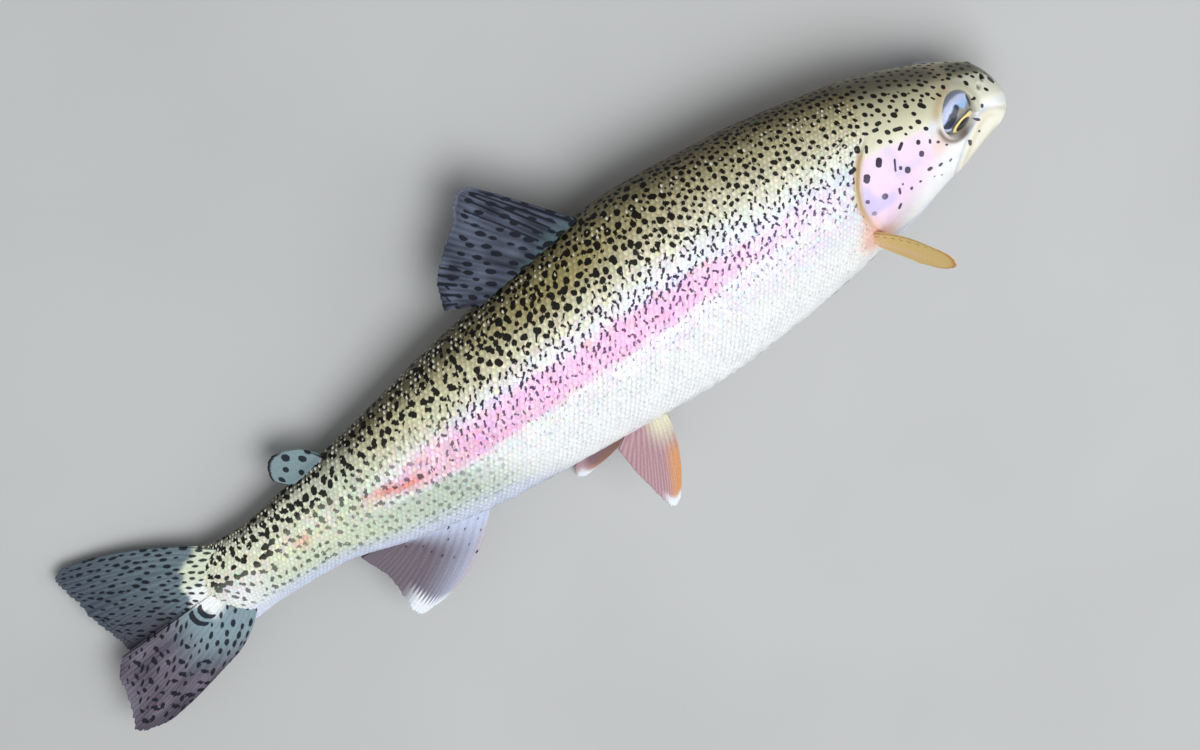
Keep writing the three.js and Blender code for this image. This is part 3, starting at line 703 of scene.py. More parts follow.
def cluster_strokes(radius, lean, knob):
    """A scalloped cluster: knobs round a middle, drawn out along the lean."""
    count = rng.integers(5, 8)
    first = rng.uniform(0, 2 * math.pi)
    strokes = []
    for k in range(count):
        angle = first + 2 * math.pi * k / count + rng.uniform(-0.3, 0.3)
        tip = np.array((0.56 * math.cos(angle), 1.08 * math.sin(angle))) * radius @ turned(lean)
        strokes.append((*(0.3 * tip), *tip, radius * knob * rng.uniform(0.85, 1.2)))
    return strokes


def stroke_depth(du, dv, stroke):
    """Millimetres inside a stroke with round ends."""
    u0, v0, u1, v1, half_width = stroke
    eu, ev = u1 - u0, v1 - v0
    t = np.clip(((du - u0) * eu + (dv - v0) * ev) / max(eu * eu + ev * ev, 1e-9), 0, 1)
    return half_width - np.hypot(du - u0 - t * eu, dv - v0 - t * ev)


def strokes_for(s, side, share, gap):
    """The strokes of one mark, which change from the back to the belly and from the head to the tail."""
    if s < 0.152:
        return blot_strokes(min(rng.uniform(0.78, 1.0), gap), 1.0, 0.0) if share < 0.2 else []
    if s < 0.26 and share < 0.26:
        return blot_strokes(min(rng.uniform(0.8, 1.05), gap), 1.3, lean_of(side))
    lean = lean_of(side)
    on_stalk = float(rise(s, 0.76, 0.86))
    rear = float(rise(s, 0.6, 0.66))
    thin_from = rng.uniform(0.24, 0.31) - 0.06 * rear + 0.09 * on_stalk
    if share < thin_from:
        radius = min(float(mark_size(s, share)) * rng.uniform(0.82, 1.14), 1.4)
        radius = min(radius, gap + 0.14 * float(rise(s, 0.4, 0.5)))
        if rng.uniform() < 0.75 * rise(s, 0.56, 0.68):
            return cluster_strokes(1.08 * radius, lean, 0.38)
        return blot_strokes(radius, rng.choice((1.1, 1.8), p=(0.6, 0.4)), lean)
    if rng.uniform() < 0.12:
        return []
    if s > 0.92 and share < 0.5:
        if rng.uniform() < 0.3:
            return []
        return blot_strokes(rng.uniform(0.85, 1.4), 2.0, rng.normal(1.1, 0.3) * side)
    if s > 0.74 and share < 0.56:
        radius = rng.uniform(0.9, 1.5) + 0.25 * float(rise(s, 0.8, 0.87))
        return cluster_strokes(min(radius, gap), lean, 0.27)
    if s > 0.66 and share > 0.54:
        return cluster_strokes(rng.uniform(0.65, 1.1), lean, 0.4)
    low = float(rise(share, 0.4, 0.58))
    wide = float(rise(s, 0.24, 0.36))
    length = min(rng.uniform(0.8, 1.2) + wide * rng.uniform(0, 0.4), 0.85 * gap + 0.1) * (1 - 0.64 * low)
    return forked_strokes(length, (0.29 + 0.03 * wide) * (1 - 0.36 * low), lean)


def canvas_cell(u, v):
    return int(u / CANVAS_STEP), int((v + CANVAS_HALF) / CANVAS_STEP)


def draw(canvas, u, v, strokes):
    """Puts a mark's strokes on the canvas, which keeps the greater depth."""
    reach = int(MARK_REACH / CANVAS_STEP)
    i, j = canvas_cell(u, v)
    i0, i1 = max(i - reach, 0), min(i + reach, canvas.shape[0])
    j0, j1 = max(j - reach, 0), min(j + reach, canvas.shape[1])
    du = np.arange(i0, i1)[:, None] * CANVAS_STEP - u
    dv = np.arange(j0, j1)[None, :] * CANVAS_STEP - CANVAS_HALF - v
    for stroke in strokes:
        canvas[i0:i1, j0:j1] = np.maximum(canvas[i0:i1, j0:j1], stroke_depth(du, dv, stroke))


def painted_canvas():
    """Millimetres inside the nearest dark mark, over the unrolled skin."""
    size = (int(CANVAS_LENGTH / CANVAS_STEP) + 2, int(2 * CANVAS_HALF / CANVAS_STEP) + 2)
    canvas = np.full(size, NO_MARK)
    for s, share, half_width, *reach in HEAD_SPOTS:
        du, dv = reach or (0, 0)
        for side in (1, -1):
            shift = rng.normal(0, 0.6, 2) * (side < 0)
            u = s * STANDARD_LENGTH / MM + shift[0]
            v = side * (share * float(half_girth(s)) / MM + shift[1])
            draw(canvas, u, v, [(-du, -side * dv, du, side * dv, HEAD_SPOT_GROWTH * half_width)])
    field = scattered_marks()
    heights, _ = section_at(field[:, 2], field[:, 3])
    for (u, v, s, share), p in zip(field, heights):
        gap = (-canvas[canvas_cell(u, v)] - 0.3) / 1.25
        in_cover = s < 0.21 and depth_inside(HEAD_OUTLINE, np.array(s), p) > -1 and share > 0.2
        if distance_from(EYE_CENTRE, s, p) > EYE_CLEARANCE and share < 0.93 and gap > 0.5 and not in_cover:
            draw(canvas, u, v, strokes_for(s, math.copysign(1, v), share, gap))
    return canvas


CANVAS = painted_canvas()


def mark_depth(s, w):
    """Millimetres inside the nearest dark mark at s and w, with ragged edges behind the head."""
    u, v = s * STANDARD_LENGTH / MM, wrapped(w) * half_girth(s) / MM
    rough = RAGGED_EDGE * fade(0.2 - s, 0, 0.04)
    u = u + rough * noise(u / 0.9, v / 0.9, 21)
    v = v + rough * noise(u / 0.9, v / 0.9, 22)
    return looked_up(CANVAS, u / CANVAS_STEP, (v + CANVAS_HALF) / CANVAS_STEP)


def mark_tint(s, w):
    """The marks' own colour: black, purple on the flank and grey low on the rear."""
    f = share_of(w)
    purple = rise(f, 0.29, 0.42) * fade(s, 0.66, 0.8) * (0.4 + 0.5 * rise(s, 0.19, 0.22))
    grey = 0.8 * rise(f, 0.34, 0.66) * rise(s, 0.5, 0.7)
    return layered(MARK_BLACK, (MARK_PURPLE, purple), (MARK_GREY, grey))


def mark_strength(s, w):
    """How strongly the marks cover the skin: less down the flank and on the tail stalk."""
    f = share_of(w)
    weaker = (
        0.14 * rise(f, 0.36, 0.5)
        + 0.42 * rise(f, 0.48, 0.62) * fade(s, 0.62, 0.74)
        + 0.18 * window(s, (0.76, 0.84), (0.9, 0.94)) * window(f, (0.25, 0.34), (0.52, 0.6))
        + 0.4 * bump(s, 0.745, 0.045) * window(f, (0.22, 0.28), (0.42, 0.48))
        + 0.26 * window(s, (0.6, 0.68), (0.82, 0.88)) * rise(f, 0.5, 0.58)
    )
    return np.maximum(0.98 - weaker, 0.9 * fade(s, 0.17, 0.2)) * fade(f, 0.74, 0.88)


def paint(obj, s, w, tint, depth):
    """Stores what the skin's material reads, for points at s and w."""
    spread = np.stack([s * STANDARD_LENGTH, w * half_girth(s), np.zeros_like(s)], axis=-1) / MM
    give(
        obj, tint=tint, mark=depth, mark_tint=mark_tint(s, w), strength=mark_strength(s, w),
        shine=shine_of(s, w), spread=spread,
    )


# ---- Skin ----
SKIN_DEPTH = 0.22 * MM
SKIN_HEAD_END = 0.212
FLOOR_GAP = 0.02 * MM
# Metres that the stalk's end is drawn in for each standard length out from the middle.
END_TAPER = 0.09
# The eye's well: the radius of its lip, how far the lip rolls out and in, how far behind the eye it reaches,
# and its depth.
WELL_LIP = 0.965 * EYE_RADIUS
LIP_OUT, LIP_IN = 0.35 * MM, 1.3 * MM
WELL_REACH = 6 * MM
WELL_DEPTH = 5.5 * MM
# Furrows of the head: line, depth and width in mm.
FURROWS = [(SUBOPERCLE, 0.4, 0.6), (INTEROPERCLE, 0.4, 0.6), (CHEEK, 0.22, 0.9)]
HEAD_RINGS, TRUNK_RINGS, SKIN_SIDES = 176, 172, 256


def groove(distance, width):
    return -bump(distance, 0, width)


def head_relief(s, p, q):
    """Millimetres that the head's plates, furrows and pits stand out from the plain body."""
    on_flank = rise(np.abs(q), 0.004, 0.014)
    inside = depth_inside(HEAD_OUTLINE, s, p)
    on_cover = rise(inside, -0.35, 0.35)
    raised = 0.55 * on_cover * np.exp(-np.maximum(inside, 0) / 7)
    sunk = 0.85 * (1 - on_cover) * np.exp(-np.maximum(-inside, 0) / 5)
    edge, _ = line_on(GILL_EDGE, s, p)
    rim_groove = groove(np.abs(edge - 2.2) * (inside > 0) + 9 * (inside <= 0), 0.7)
    relief = rise(0.078 - p, 0, 0.016) * (raised - sunk + 0.3 * rim_groove)

    preopercle, share = line_on(PREOPERCLE, s, p)
    ridge_ahead = bump(preopercle, 1.7, 1.3) * (s < 0.158)
    relief += (0.24 * groove(preopercle, 0.7) + 0.1 * ridge_ahead) * window(share, (0, 0.12), (0.85, 1))
    for line, depth, width in FURROWS:
        distance, share = line_on(line, s, p)
        relief += depth * groove(distance, width) * window(share, (0, 0.12), (0.88, 1))
    throat, share = line_on(JAW_UNDERSIDE, s, p)
    relief += 0.5 * groove(throat, 0.7) * rise(share, 0.05, 0.2)
    rays = np.cos(np.clip(throat, 0, 9) * 2.1) * window(s, (0.09, 0.115), (0.17, 0.19))
    under = rise(throat, 0, 0.8) * (p < -0.03) * rise(-0.066 - p, -0.004, 0.002)
    relief += 0.16 * rays * under

    bone = depth_inside(UPPER_JAW_BONE, s, p)
    relief += 0.6 * rise(bone, -0.2, 1.5) - 0.3 * bump(bone, -0.5, 0.5)
    mouth, share = line_on(MOUTH, s, p)
    relief += 1.3 * groove(mouth, 0.42) * fade(share, 0.93, 1)
    eye_off = distance_from(EYE_CENTRE, s, p)
    relief += 0.12 * bump(eye_off, 9.7, 0.8) - 0.08 * bump(eye_off, 12.0, 1.4)
    for at, up, size in NOSTRILS:
        off = distance_from((at, up), s, p)
        relief += 0.35 * bump(off, size * 1.25, 0.5) - 1.2 * bump(off, 0, size * 0.75)
    return relief * on_flank + 1.1 * groove(mouth, 0.5) * (1 - on_flank) * (s < 0.03)


def eye_well(points, side):
    """Metres that the skin sinks within the eye's disc, which leaves a round opening with a rolled lip."""
    centre, looks = eye_frame(side)
    offset = points - centre
    ahead = offset @ looks
    radial = np.linalg.norm(offset - ahead[:, None] * looks, axis=1)
    return np.where(ahead > -WELL_REACH, WELL_DEPTH * rise(WELL_LIP - radial, -LIP_OUT, LIP_IN), 0)


def drawn_in(s, q):
    """Metres that the sides of the tail stalk's end are drawn in, which is most where they stand out most."""
    return END_TAPER * rise(s, 0.985, BODY_END) * np.abs(q)


def ring_uvs(rings):
    """Map places for the corners of the skin's quads, with the seam along the belly."""
    u = np.arange(rings) / (rings - 1)
    v = np.arange(SKIN_SIDES + 1) / SKIN_SIDES
    i, j = crossed(np.arange(rings - 1), np.arange(SKIN_SIDES))
    return np.stack([
        np.stack([u[i], u[i], u[i + 1], u[i + 1]], axis=1),
        np.stack([v[j], v[j + 1], v[j + 1], v[j]], axis=1),
    ], axis=-1).reshape(-1, 2)


def end_cap(start, turn):
    """Quads and two triangles that close the skin's end ring."""
    half = SKIN_SIDES // 2
    k = np.arange(half - 1)
    left, right = start + half - k - 1, start + half + k + 1
    quads = np.stack([left[:-1], left[1:], right[1:], right[:-1]], axis=1)
    top = np.array([[start + half, left[0], right[0]]])
    bottom = np.array([[start, right[-1], left[-1]]])
    return [faces[:, ::turn] for faces in (quads, top, bottom)]


def build_skin():
    """One closed skin from the snout to the end of the tail stalk."""
    head = SKIN_HEAD_END * (np.linspace(0, 1, HEAD_RINGS) ** 1.25)
    trunk = np.linspace(head[-1], BODY_END, TRUNK_RINGS + 1)[1:]
    ring = np.maximum(np.concatenate([head, trunk]), 2e-5)
    rings = len(ring)
    s, w = crossed(ring, np.linspace(-1, 1, SKIN_SIDES + 1)[:-1])
    points, normals = surface(s, w), surface_normal(s, w)
    p, q = section_at(s, w)
    in_head = s < 0.26
    lift = np.zeros(len(s))
    lift[in_head] = head_relief(s[in_head], p[in_head], q[in_head]) * MM
    scaled = rise(-depth_inside(HEAD_OUTLINE, s, p), 0, 1.5)
    lift -= SKIN_DEPTH * scaled
    for side in (1, -1):
        near = (np.sign(w) == side) & (s > 0.02) & (s < 0.13)
        lift[near] -= eye_well(points[near], side)
    points = points + normals * (lift - drawn_in(s, q))[:, None]
    points[:, 2] = np.maximum(points[:, 2], FLOOR_GAP)

    caps = end_cap(0, 1) + end_cap((rings - 1) * SKIN_SIDES, -1)
    uvs = np.concatenate([ring_uvs(rings), np.zeros((sum(part.size for part in caps), 2))])
    skin = new_piece("skin", points, [grid_faces(rings, SKIN_SIDES, wrap=True), *caps], uvs)
    # Painted shade: the skin under the scales, seen between them, is made up to 15 percent darker.
    paint(skin, s, w, skin_tint(s, w) * (1 - 0.15 * scaled)[:, None], mark_depth(s, w))
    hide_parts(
        "head", "lower_jaw", "upper_jaw_bone_right", "upper_jaw_bone_left", "gill_cover_right",
        "gill_cover_left", "trunk_front", "trunk_rear", "tail_stalk",
    )
    return skin


# ---- Scales ----
SCALE_STEPS = np.array([0.0, 0.34, 0.54, 0.7, 0.85, 1.0])
SCALE_ROWS, SCALE_COLUMNS = len(SCALE_STEPS), 7
SCALE_SIZE = np.array([(0.15, 1.55), (0.25, 1.9), (0.45, 2.15), (0.7, 2.1), (0.9, 1.85), (1.02, 1.6)])
SCALE_PIECES = 6
SCALE_ROOT, SCALE_TIP, SCALE_HALF_WIDTH = -1.1, 0.54, 0.72
SCALES_FROM, SCALES_TO = 0.148, 1.018
# Millimetres that a full painted glint takes off the depth inside a mark, so that the painted highlight shows
# over the marks.
PAINTED_GLINT_CLEARS = 2.5


def scale_size(s):
    return smooth_along(SCALE_SIZE, 1, s)


def scale_lattice():
    """Rows of (s, w, size in mm) for scales in staggered rows that run along the lateral line."""
    places = [SCALES_FROM]
    while places[-1] < SCALES_TO:
        places.append(places[-1] + float(scale_size(places[-1])) * MM / STANDARD_LENGTH / 2)
    halves = np.array(places)
    found = []
    for side in (1, -1):
        for row in range(-40, 60):
            s = halves[(row % 2)::2]
            size = scale_size(s) * MM
            w = smooth_along(LATERAL_LINE, 1, s) + row * size / half_girth(s)
            margin = 0.3 * size / half_girth(s)
            keep = (w > -margin) & (w < 1 + margin)
            found.append(np.stack([s[keep], side * w[keep], size[keep]], axis=1))
    lattice = np.concatenate(found)
    s, w = lattice[:, 0], lattice[:, 1]
    p, _ = section_at(s, w)
    clear_of_head = depth_inside(HEAD_OUTLINE, s, p) < np.where(p < 0.07, 0.2, -1.0)
    base_s, base_p, _ = PECTORAL_BASE
    clear_of_fin = np.hypot(s - base_s, (p - base_p) * 0.9) > 0.0135
    return lattice[clear_of_head & clear_of_fin]


def varied_tint(s, w, local):
    """Each scale's own colour: the skin's, a little lighter or darker and pearly on the flank."""
    f = share_of(w)
    pearl = bump(f, 0.45, 0.2)[:, None] * local.uniform(-0.11, 0.11, (len(s), 3))
    lightness = local.uniform(-1, 1, len(s)) * (0.03 + 0.08 * fade(f, 0.25, 0.5))
    return skin_tint(s, w) * (1 + pearl + lightness[:, None])


def painted_glint_of(s, w, painted_scale_light, chance):
    """How much of the painted glint, a highlight painted into the colour along the back and low on the rear
    flank, a point of a scale carries, from 0 to 1.
    """
    f = share_of(w)
    rear = rise(s, 0.42, 0.66)
    back = np.clip(1.8 * bump(f, 0.105 - 0.035 * rear, 0.022 + 0.035 * rear), 0, 1)
    belly = bump(f, 0.8, 0.07) * bump(s, 0.68, 0.1)
    least = 0.64 - 0.26 * rear
    luck = np.clip((chance - least) / (1 - least), 0, 1)
    lit = rise(painted_scale_light, 0.85 - 0.45 * luck, 1 - 0.35 * luck) * (chance > least)
    return np.maximum(back, 0.8 * belly) * lit


def with_painted_scale_light(tint, w, painted_scale_light):
    """Paints a highlight on the middle of each scale's bare part, and painted shade towards its edges and
    where it comes out from under the scales ahead.
    """
    contrast = 0.2 + 0.2 * fade(share_of(w), 0.2, 0.42)
    return tint * (1 + contrast * (painted_scale_light - 0.5))[:, None]


def scale_form():
    """One scale's points: map place, along and across in scale sizes, height in mm, and how much painted
    highlight each carries.
    """
    u, t = crossed(SCALE_STEPS, np.linspace(-1, 1, SCALE_COLUMNS))
    tip = SCALE_TIP - 0.34 * t**2
    x = SCALE_ROOT + u * (tip - SCALE_ROOT)
    y = SCALE_HALF_WIDTH * t * (0.82 + 0.18 * np.sin(np.pi * np.minimum(u * 1.1, 1)))
    height = -0.13 + 0.3 * u - 0.075 * t**2 * (0.4 + 0.6 * u)
    # Painted light: 1 in the middle of the bare part just inside the rim, falling off towards the rim, the
    # sides and the root.
    painted_scale_light = bump(tip - x, 0.3, 0.26) * bump(t, 0, 0.62)
    return np.stack([u - 0.5, t / 2], axis=1), x, y, height, painted_scale_light


def scale_faces(count):
    """The top and under faces of joined scales, and the keys of the edges round them."""
    per, last = SCALE_ROWS * SCALE_COLUMNS, SCALE_COLUMNS - 1
    loop = np.concatenate([
        np.arange(last), np.arange(SCALE_ROWS - 1) * SCALE_COLUMNS + last,
        (SCALE_ROWS - 1) * SCALE_COLUMNS + np.arange(last, 0, -1),
        np.arange(SCALE_ROWS - 1, 0, -1) * SCALE_COLUMNS,
    ])
    base = (np.arange(count) * per)[:, None, None]
    tops = (grid_faces(SCALE_ROWS, SCALE_COLUMNS)[None] + base).reshape(-1, 4)
    unders = (loop[None, ::-1] + base[:, 0]).reshape(-1, len(loop))
    ends = np.sort(np.stack([loop, np.roll(loop, -1)], axis=1), axis=1)
    ends = (ends[None] + base).reshape(-1, 2)
    return tops, unders, ends[:, 0].astype(np.int64) * (per * count) + ends[:, 1]


def on_skin(s, w, raised):
    """Points that stand off the skin by the metres raised."""
    p, q = section_at(s, w)
    skin_at = -SKIN_DEPTH + trunk_relief(s, p, q) * MM - drawn_in(s, q)
    points = surface(s, w) + surface_normal(s, w) * (skin_at + raised)[:, None]
    points[:, 2] = np.maximum(points[:, 2], 0.0)
    return points


def build_scales():
    """The scales, joined from the head to the tail in a few pieces."""
    s0, w0, size = scale_lattice().T
    count = len(s0)
    local = np.random.default_rng(5)
    painted_glint_chance = local.uniform(0, 1, count)
    scale_tint = varied_tint(s0, w0, local)
    size_change = local.uniform(0.95, 1.06, count)
    tilt_along, tilt_across = local.normal(0, 0.035, count), local.normal(0, 0.035, count)

    map_place, x, y, height, painted_scale_light = scale_form()
    along = (x[None, :] * size_change[:, None]) * size[:, None]
    across = (y[None, :] * size_change[:, None]) * size[:, None]
    s = s0[:, None] + along / STANDARD_LENGTH
    w = (w0[:, None] + across / half_girth(s)).ravel()
    raised = height[None, :] * MM + tilt_along[:, None] * along + tilt_across[:, None] * across
    s = np.clip(s.ravel(), 0.01, BODY_END)
    per = len(x)
    points = on_skin(s, w, raised.ravel()).reshape(count, per, 3)

    pieces = []
    for number, chosen in enumerate(np.array_split(np.argsort(s0), SCALE_PIECES), start=1):
        tops, unders, sharp_keys = scale_faces(len(chosen))
        middle = np.stack([s0[chosen] / BODY_END, (w0[chosen] + 1) / 2], axis=1) * 0.98 + 0.01
        uvs = (middle[:, None, :] + map_place[None] * 0.003).reshape(-1, 2)
        piece = new_piece(f"scales_{number}", points[chosen].reshape(-1, 3), [tops, unders], uvs)
        mark_sharp(piece, sharp_keys)
        pick = (chosen[:, None] * per + np.arange(per)[None]).ravel()
        here, round_here = s[pick], w[pick]
        whole = np.repeat(mark_depth(s0[chosen], w0[chosen]), per)
        depth = 0.88 * mark_depth(here, round_here) + 0.12 * np.clip(whole, -0.5, 0.9)
        painted_scale_light_here = np.tile(painted_scale_light, len(chosen))
        painted_glint = painted_glint_of(here, round_here, painted_scale_light_here, np.repeat(painted_glint_chance[chosen], per))
        tint = with_painted_scale_light(np.repeat(scale_tint[chosen], per, axis=0), round_here, painted_scale_light_here)
        # Painted highlight: the glints are mixed into the scales' colour and clear the dark marks under them.
        paint(piece, here, round_here, mixed(tint, PAINTED_GLINT, painted_glint), depth - PAINTED_GLINT_CLEARS * painted_glint)
        pieces.append(piece)
    return pieces


def trunk_relief(s, p, q):
    """The relief of the trunk behind the gill opening, carried on smoothly under the cover's edge."""
    relief = np.zeros(len(s))
    near = s < 0.27
    behind = np.maximum(-depth_inside(HEAD_OUTLINE, s[near], p[near]), 0)
    open_edge = rise(0.078 - p[near], 0, 0.016) * rise(np.abs(q[near]), 0.004, 0.014)
    relief[near] = -0.85 * np.exp(-behind / 5) * open_edge
    return relief


# ---- Materials ----
class Nodes:
    """A short way to write a material's node tree."""

    def __init__(self, name):
        self.material = bpy.data.materials.new(name)
        self.material.use_nodes = True
        self.tree = self.material.node_tree
        self.shader = self.tree.nodes["Principled BSDF"]

    def add(self, kind, inputs=None, **settings):
        node = self.tree.nodes.new(kind)
        for key, value in settings.items():
            setattr(node, key, value)
        for key, value in (inputs or {}).items():
            self.set(node.inputs[key], value)
        return node

    def set(self, socket, value):
        if isinstance(value, bpy.types.NodeSocket):
            self.tree.links.new(value, socket)
        else:
            socket.default_value = value

    def read(self, name, output="Fac"):
        return self.add("ShaderNodeAttribute", attribute_name=name).outputs[output]

    def math(self, operation, *values):
        node = self.add("ShaderNodeMath", operation=operation)
        for socket, value in zip(node.inputs, values):
            self.set(socket, value)
        return node.outputs[0]

    def step(self, value, low, high, to_low=0.0, to_high=1.0):
        node = self.add(
            "ShaderNodeMapRange",
            {"Value": value, "From Min": low, "From Max": high, "To Min": to_low, "To Max": to_high},
            interpolation_type="SMOOTHSTEP",
        )
        return node.outputs[0]

    def mix(self, share, a, b, blend="MIX"):
        node = self.add("ShaderNodeMix", {0: share, 6: a, 7: b}, data_type="RGBA", blend_type=blend)
        return node.outputs[2]

    def noise(self, vector, scale, detail=2.0, roughness=0.5):
        inputs = {"Vector": vector, "Scale": scale, "Detail": detail, "Roughness": roughness}
        return self.add("ShaderNodeTexNoise", inputs).outputs["Fac"]

    def shaded_tint(self, shade):
        """The stored tint, made lighter or darker."""
        grey = self.add("ShaderNodeCombineColor", {"Red": shade, "Green": shade, "Blue": shade}).outputs[0]
        return self.mix(1.0, self.read("tint", "Color"), grey, "MULTIPLY")

    def frayed_mark(self, grain, amount):
        """The stored depth inside the marks, with edges that the grain frays."""
        fray = self.math("MULTIPLY", self.math("SUBTRACT", grain, 0.5), amount)
        return self.math("ADD", self.read("mark"), fray)

    def bumps(self, height, strength, distance):
        inputs = {"Strength": strength, "Distance": distance, "Height": height}
        return self.add("ShaderNodeBump", inputs).outputs[0]

    def finish(self, **sockets):
        for key, value in sockets.items():
            self.set(self.shader.inputs[key.replace("_", " ")], value)
        return self.material


def skin_material():
    n = Nodes("trout_skin")
    spread = n.read("spread", "Vector")
    blotch = n.noise(spread, 0.12, 3.0, 0.6)
    grain = n.noise(spread, 1.6, 2.0, 0.6)
    dark = n.math("MULTIPLY", n.step(n.frayed_mark(grain, 0.16), -0.12, 0.08), n.read("strength"))
    tint = n.shaded_tint(n.step(blotch, 0.25, 0.75, 0.96, 1.03))
    clear = n.math("SUBTRACT", 1.0, dark)
    return n.finish(
        Base_Color=n.mix(dark, tint, n.read("mark_tint", "Color")),
        Metallic=n.math("MULTIPLY", n.math("MULTIPLY", n.read("shine"), clear), 0.22),
        Roughness=n.step(grain, 0.3, 0.7, 0.3, 0.42), Normal=n.bumps(grain, 0.1, 0.0002),
        Coat_Weight=n.step(dark, 0.0, 1.0, 0.1, 0.03), Coat_Roughness=0.16,
        Specular_IOR_Level=n.step(dark, 0.0, 1.0, 0.32, 0.12),
    )


# ---- Eyes ----
PUPIL_AT = (-0.07, -0.43)
PUPIL_RADIUS = 0.4
EYE_RINGS, EYE_SIDES = 110, 180
# Painted reflection: dark streaks across the painted reflection of the sky on the upper eye, as (x0, y0, x1,
# y1, half width) in eye radii.
PAINTED_EYE_STREAKS = [
    (-0.1, 0.66, -0.43, 0.42, 0.12), (-0.43, 0.42, -0.76, 0.04, 0.16), (0.68, 0.49, 0.6, 0.18, 0.085),
]


def eye_tints(x, y):
    """The rolled-down eye's colours, with a painted reflection of the sky and dark streaks in it, at x
    towards the snout and y towards the back in eye radii.
    """
    radius, angle = np.hypot(x, y), np.arctan2(y, x)
    from_pupil = np.hypot(x - PUPIL_AT[0], y - PUPIL_AT[1])
    ring = PUPIL_RADIUS + 0.14 + 0.12 * rise(x, 0.0, 0.5) - 0.06 * rise(-y, 0.5, 0.8)
    around = angle + 0.3 * noise(angle * 3, radius * 3, 41)
    # Painted reflection: a pale sky blue over the upper, outer part of the eye.
    blue = np.clip(window(around, (0.45, 0.75), (3.05, 3.2)) + (around < -2.9), 0, 1)
    blue = blue * rise(radius + 0.24 * bump(angle, 1.15, 0.35), 0.6, 0.76)
    painted_streaks = (0.95 * rise(stroke_depth(x, y, streak), -0.05, 0.03) for streak in PAINTED_EYE_STREAKS)
    return layered(
        mixed(tone(150, 146, 134), tone(104, 106, 104), rise(from_pupil, 0.9, 0.6)),
        (mixed(tone(160, 194, 236), tone(206, 214, 244), rise(radius, 0.6, 0.95)), blue),
        *((tone(28, 34, 56), streak) for streak in painted_streaks),
        (tone(56, 46, 38), 0.9 * bump(from_pupil, ring + 0.05, 0.045) * (y > -0.35)),
        (tone(250, 224, 146), rise(ring - from_pupil, -0.015, 0.02)),
        (tone(12, 12, 16), rise(PUPIL_RADIUS - from_pupil, -0.02, 0.015)),
        (tone(74, 62, 54), rise(radius, 0.86, 0.95) * rise(-y, 0.1, 0.5)),
        (tone(90, 96, 96), 0.7 * rise(radius, 0.94, 0.99)),
    )


def build_eye(side, material):
    """A flattened eyeball: iris ring, pupil and clear bulge in one surface."""
    centre, looks = eye_frame(side)
    turns = np.arange(EYE_SIDES) / EYE_SIDES * 2 * np.pi
    polar, turn = crossed(np.linspace(1e-4, np.pi * 0.62, EYE_RINGS), turns)
    radius = np.sin(polar)
    lens = 0.03 * fade(radius, 0.3, 0.62)
    toward_snout = np.array((1.0, 0, 0))
    ahead = toward_snout - toward_snout @ looks * looks
    ahead /= np.linalg.norm(ahead)
    above = np.cross(looks, ahead) * side
    x, y = radius * np.cos(turn), radius * np.sin(turn)
    out = np.cos(polar) * EYE_DEPTH_RATIO + lens
    points = centre + EYE_RADIUS * (x[:, None] * ahead + y[:, None] * above + out[:, None] * looks)
    front = np.arange(EYE_SIDES)[None, ::-1]
    back = ((EYE_RINGS - 1) * EYE_SIDES + np.arange(EYE_SIDES))[None]
    face_groups = [grid_faces(EYE_RINGS, EYE_SIDES, wrap=True), front, back]
    name = "eye_ball_right" if side > 0 else "eye_ball_left"
    eye = new_piece(name, points, [faces[:, ::-side] for faces in face_groups])
    give(eye, tint=eye_tints(x, y), disc=np.stack([x, y, radius], axis=1))
    eye.data.materials.append(material)
    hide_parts("eye_right" if side > 0 else "eye_left")
    return eye


def eye_material():
    n = Nodes("trout_eye")
    flecks = n.noise(n.read("disc", "Vector"), 9.0, 4.0, 0.7)
    return n.finish(
        Base_Color=n.shaded_tint(n.step(flecks, 0.3, 0.7, 0.9, 1.08)), Roughness=0.3, Specular_IOR_Level=0.3,
        Coat_Weight=0.4, Coat_Roughness=0.05,
    )


# ---- Fins ----
PELVIC_ROOT = [(0.487, -0.098, 0.016), (0.505, -0.098, 0.013), (0.524, -0.096, 0.01)]
PECTORAL_ROOT = [(0.2085, -0.034, 0.046), (0.206, -0.046, 0.043), (0.2035, -0.058, 0.036)]


def mirrored(points):
    """The same points on the other flank."""
    return [(s, p, -q) for s, p, q in points]


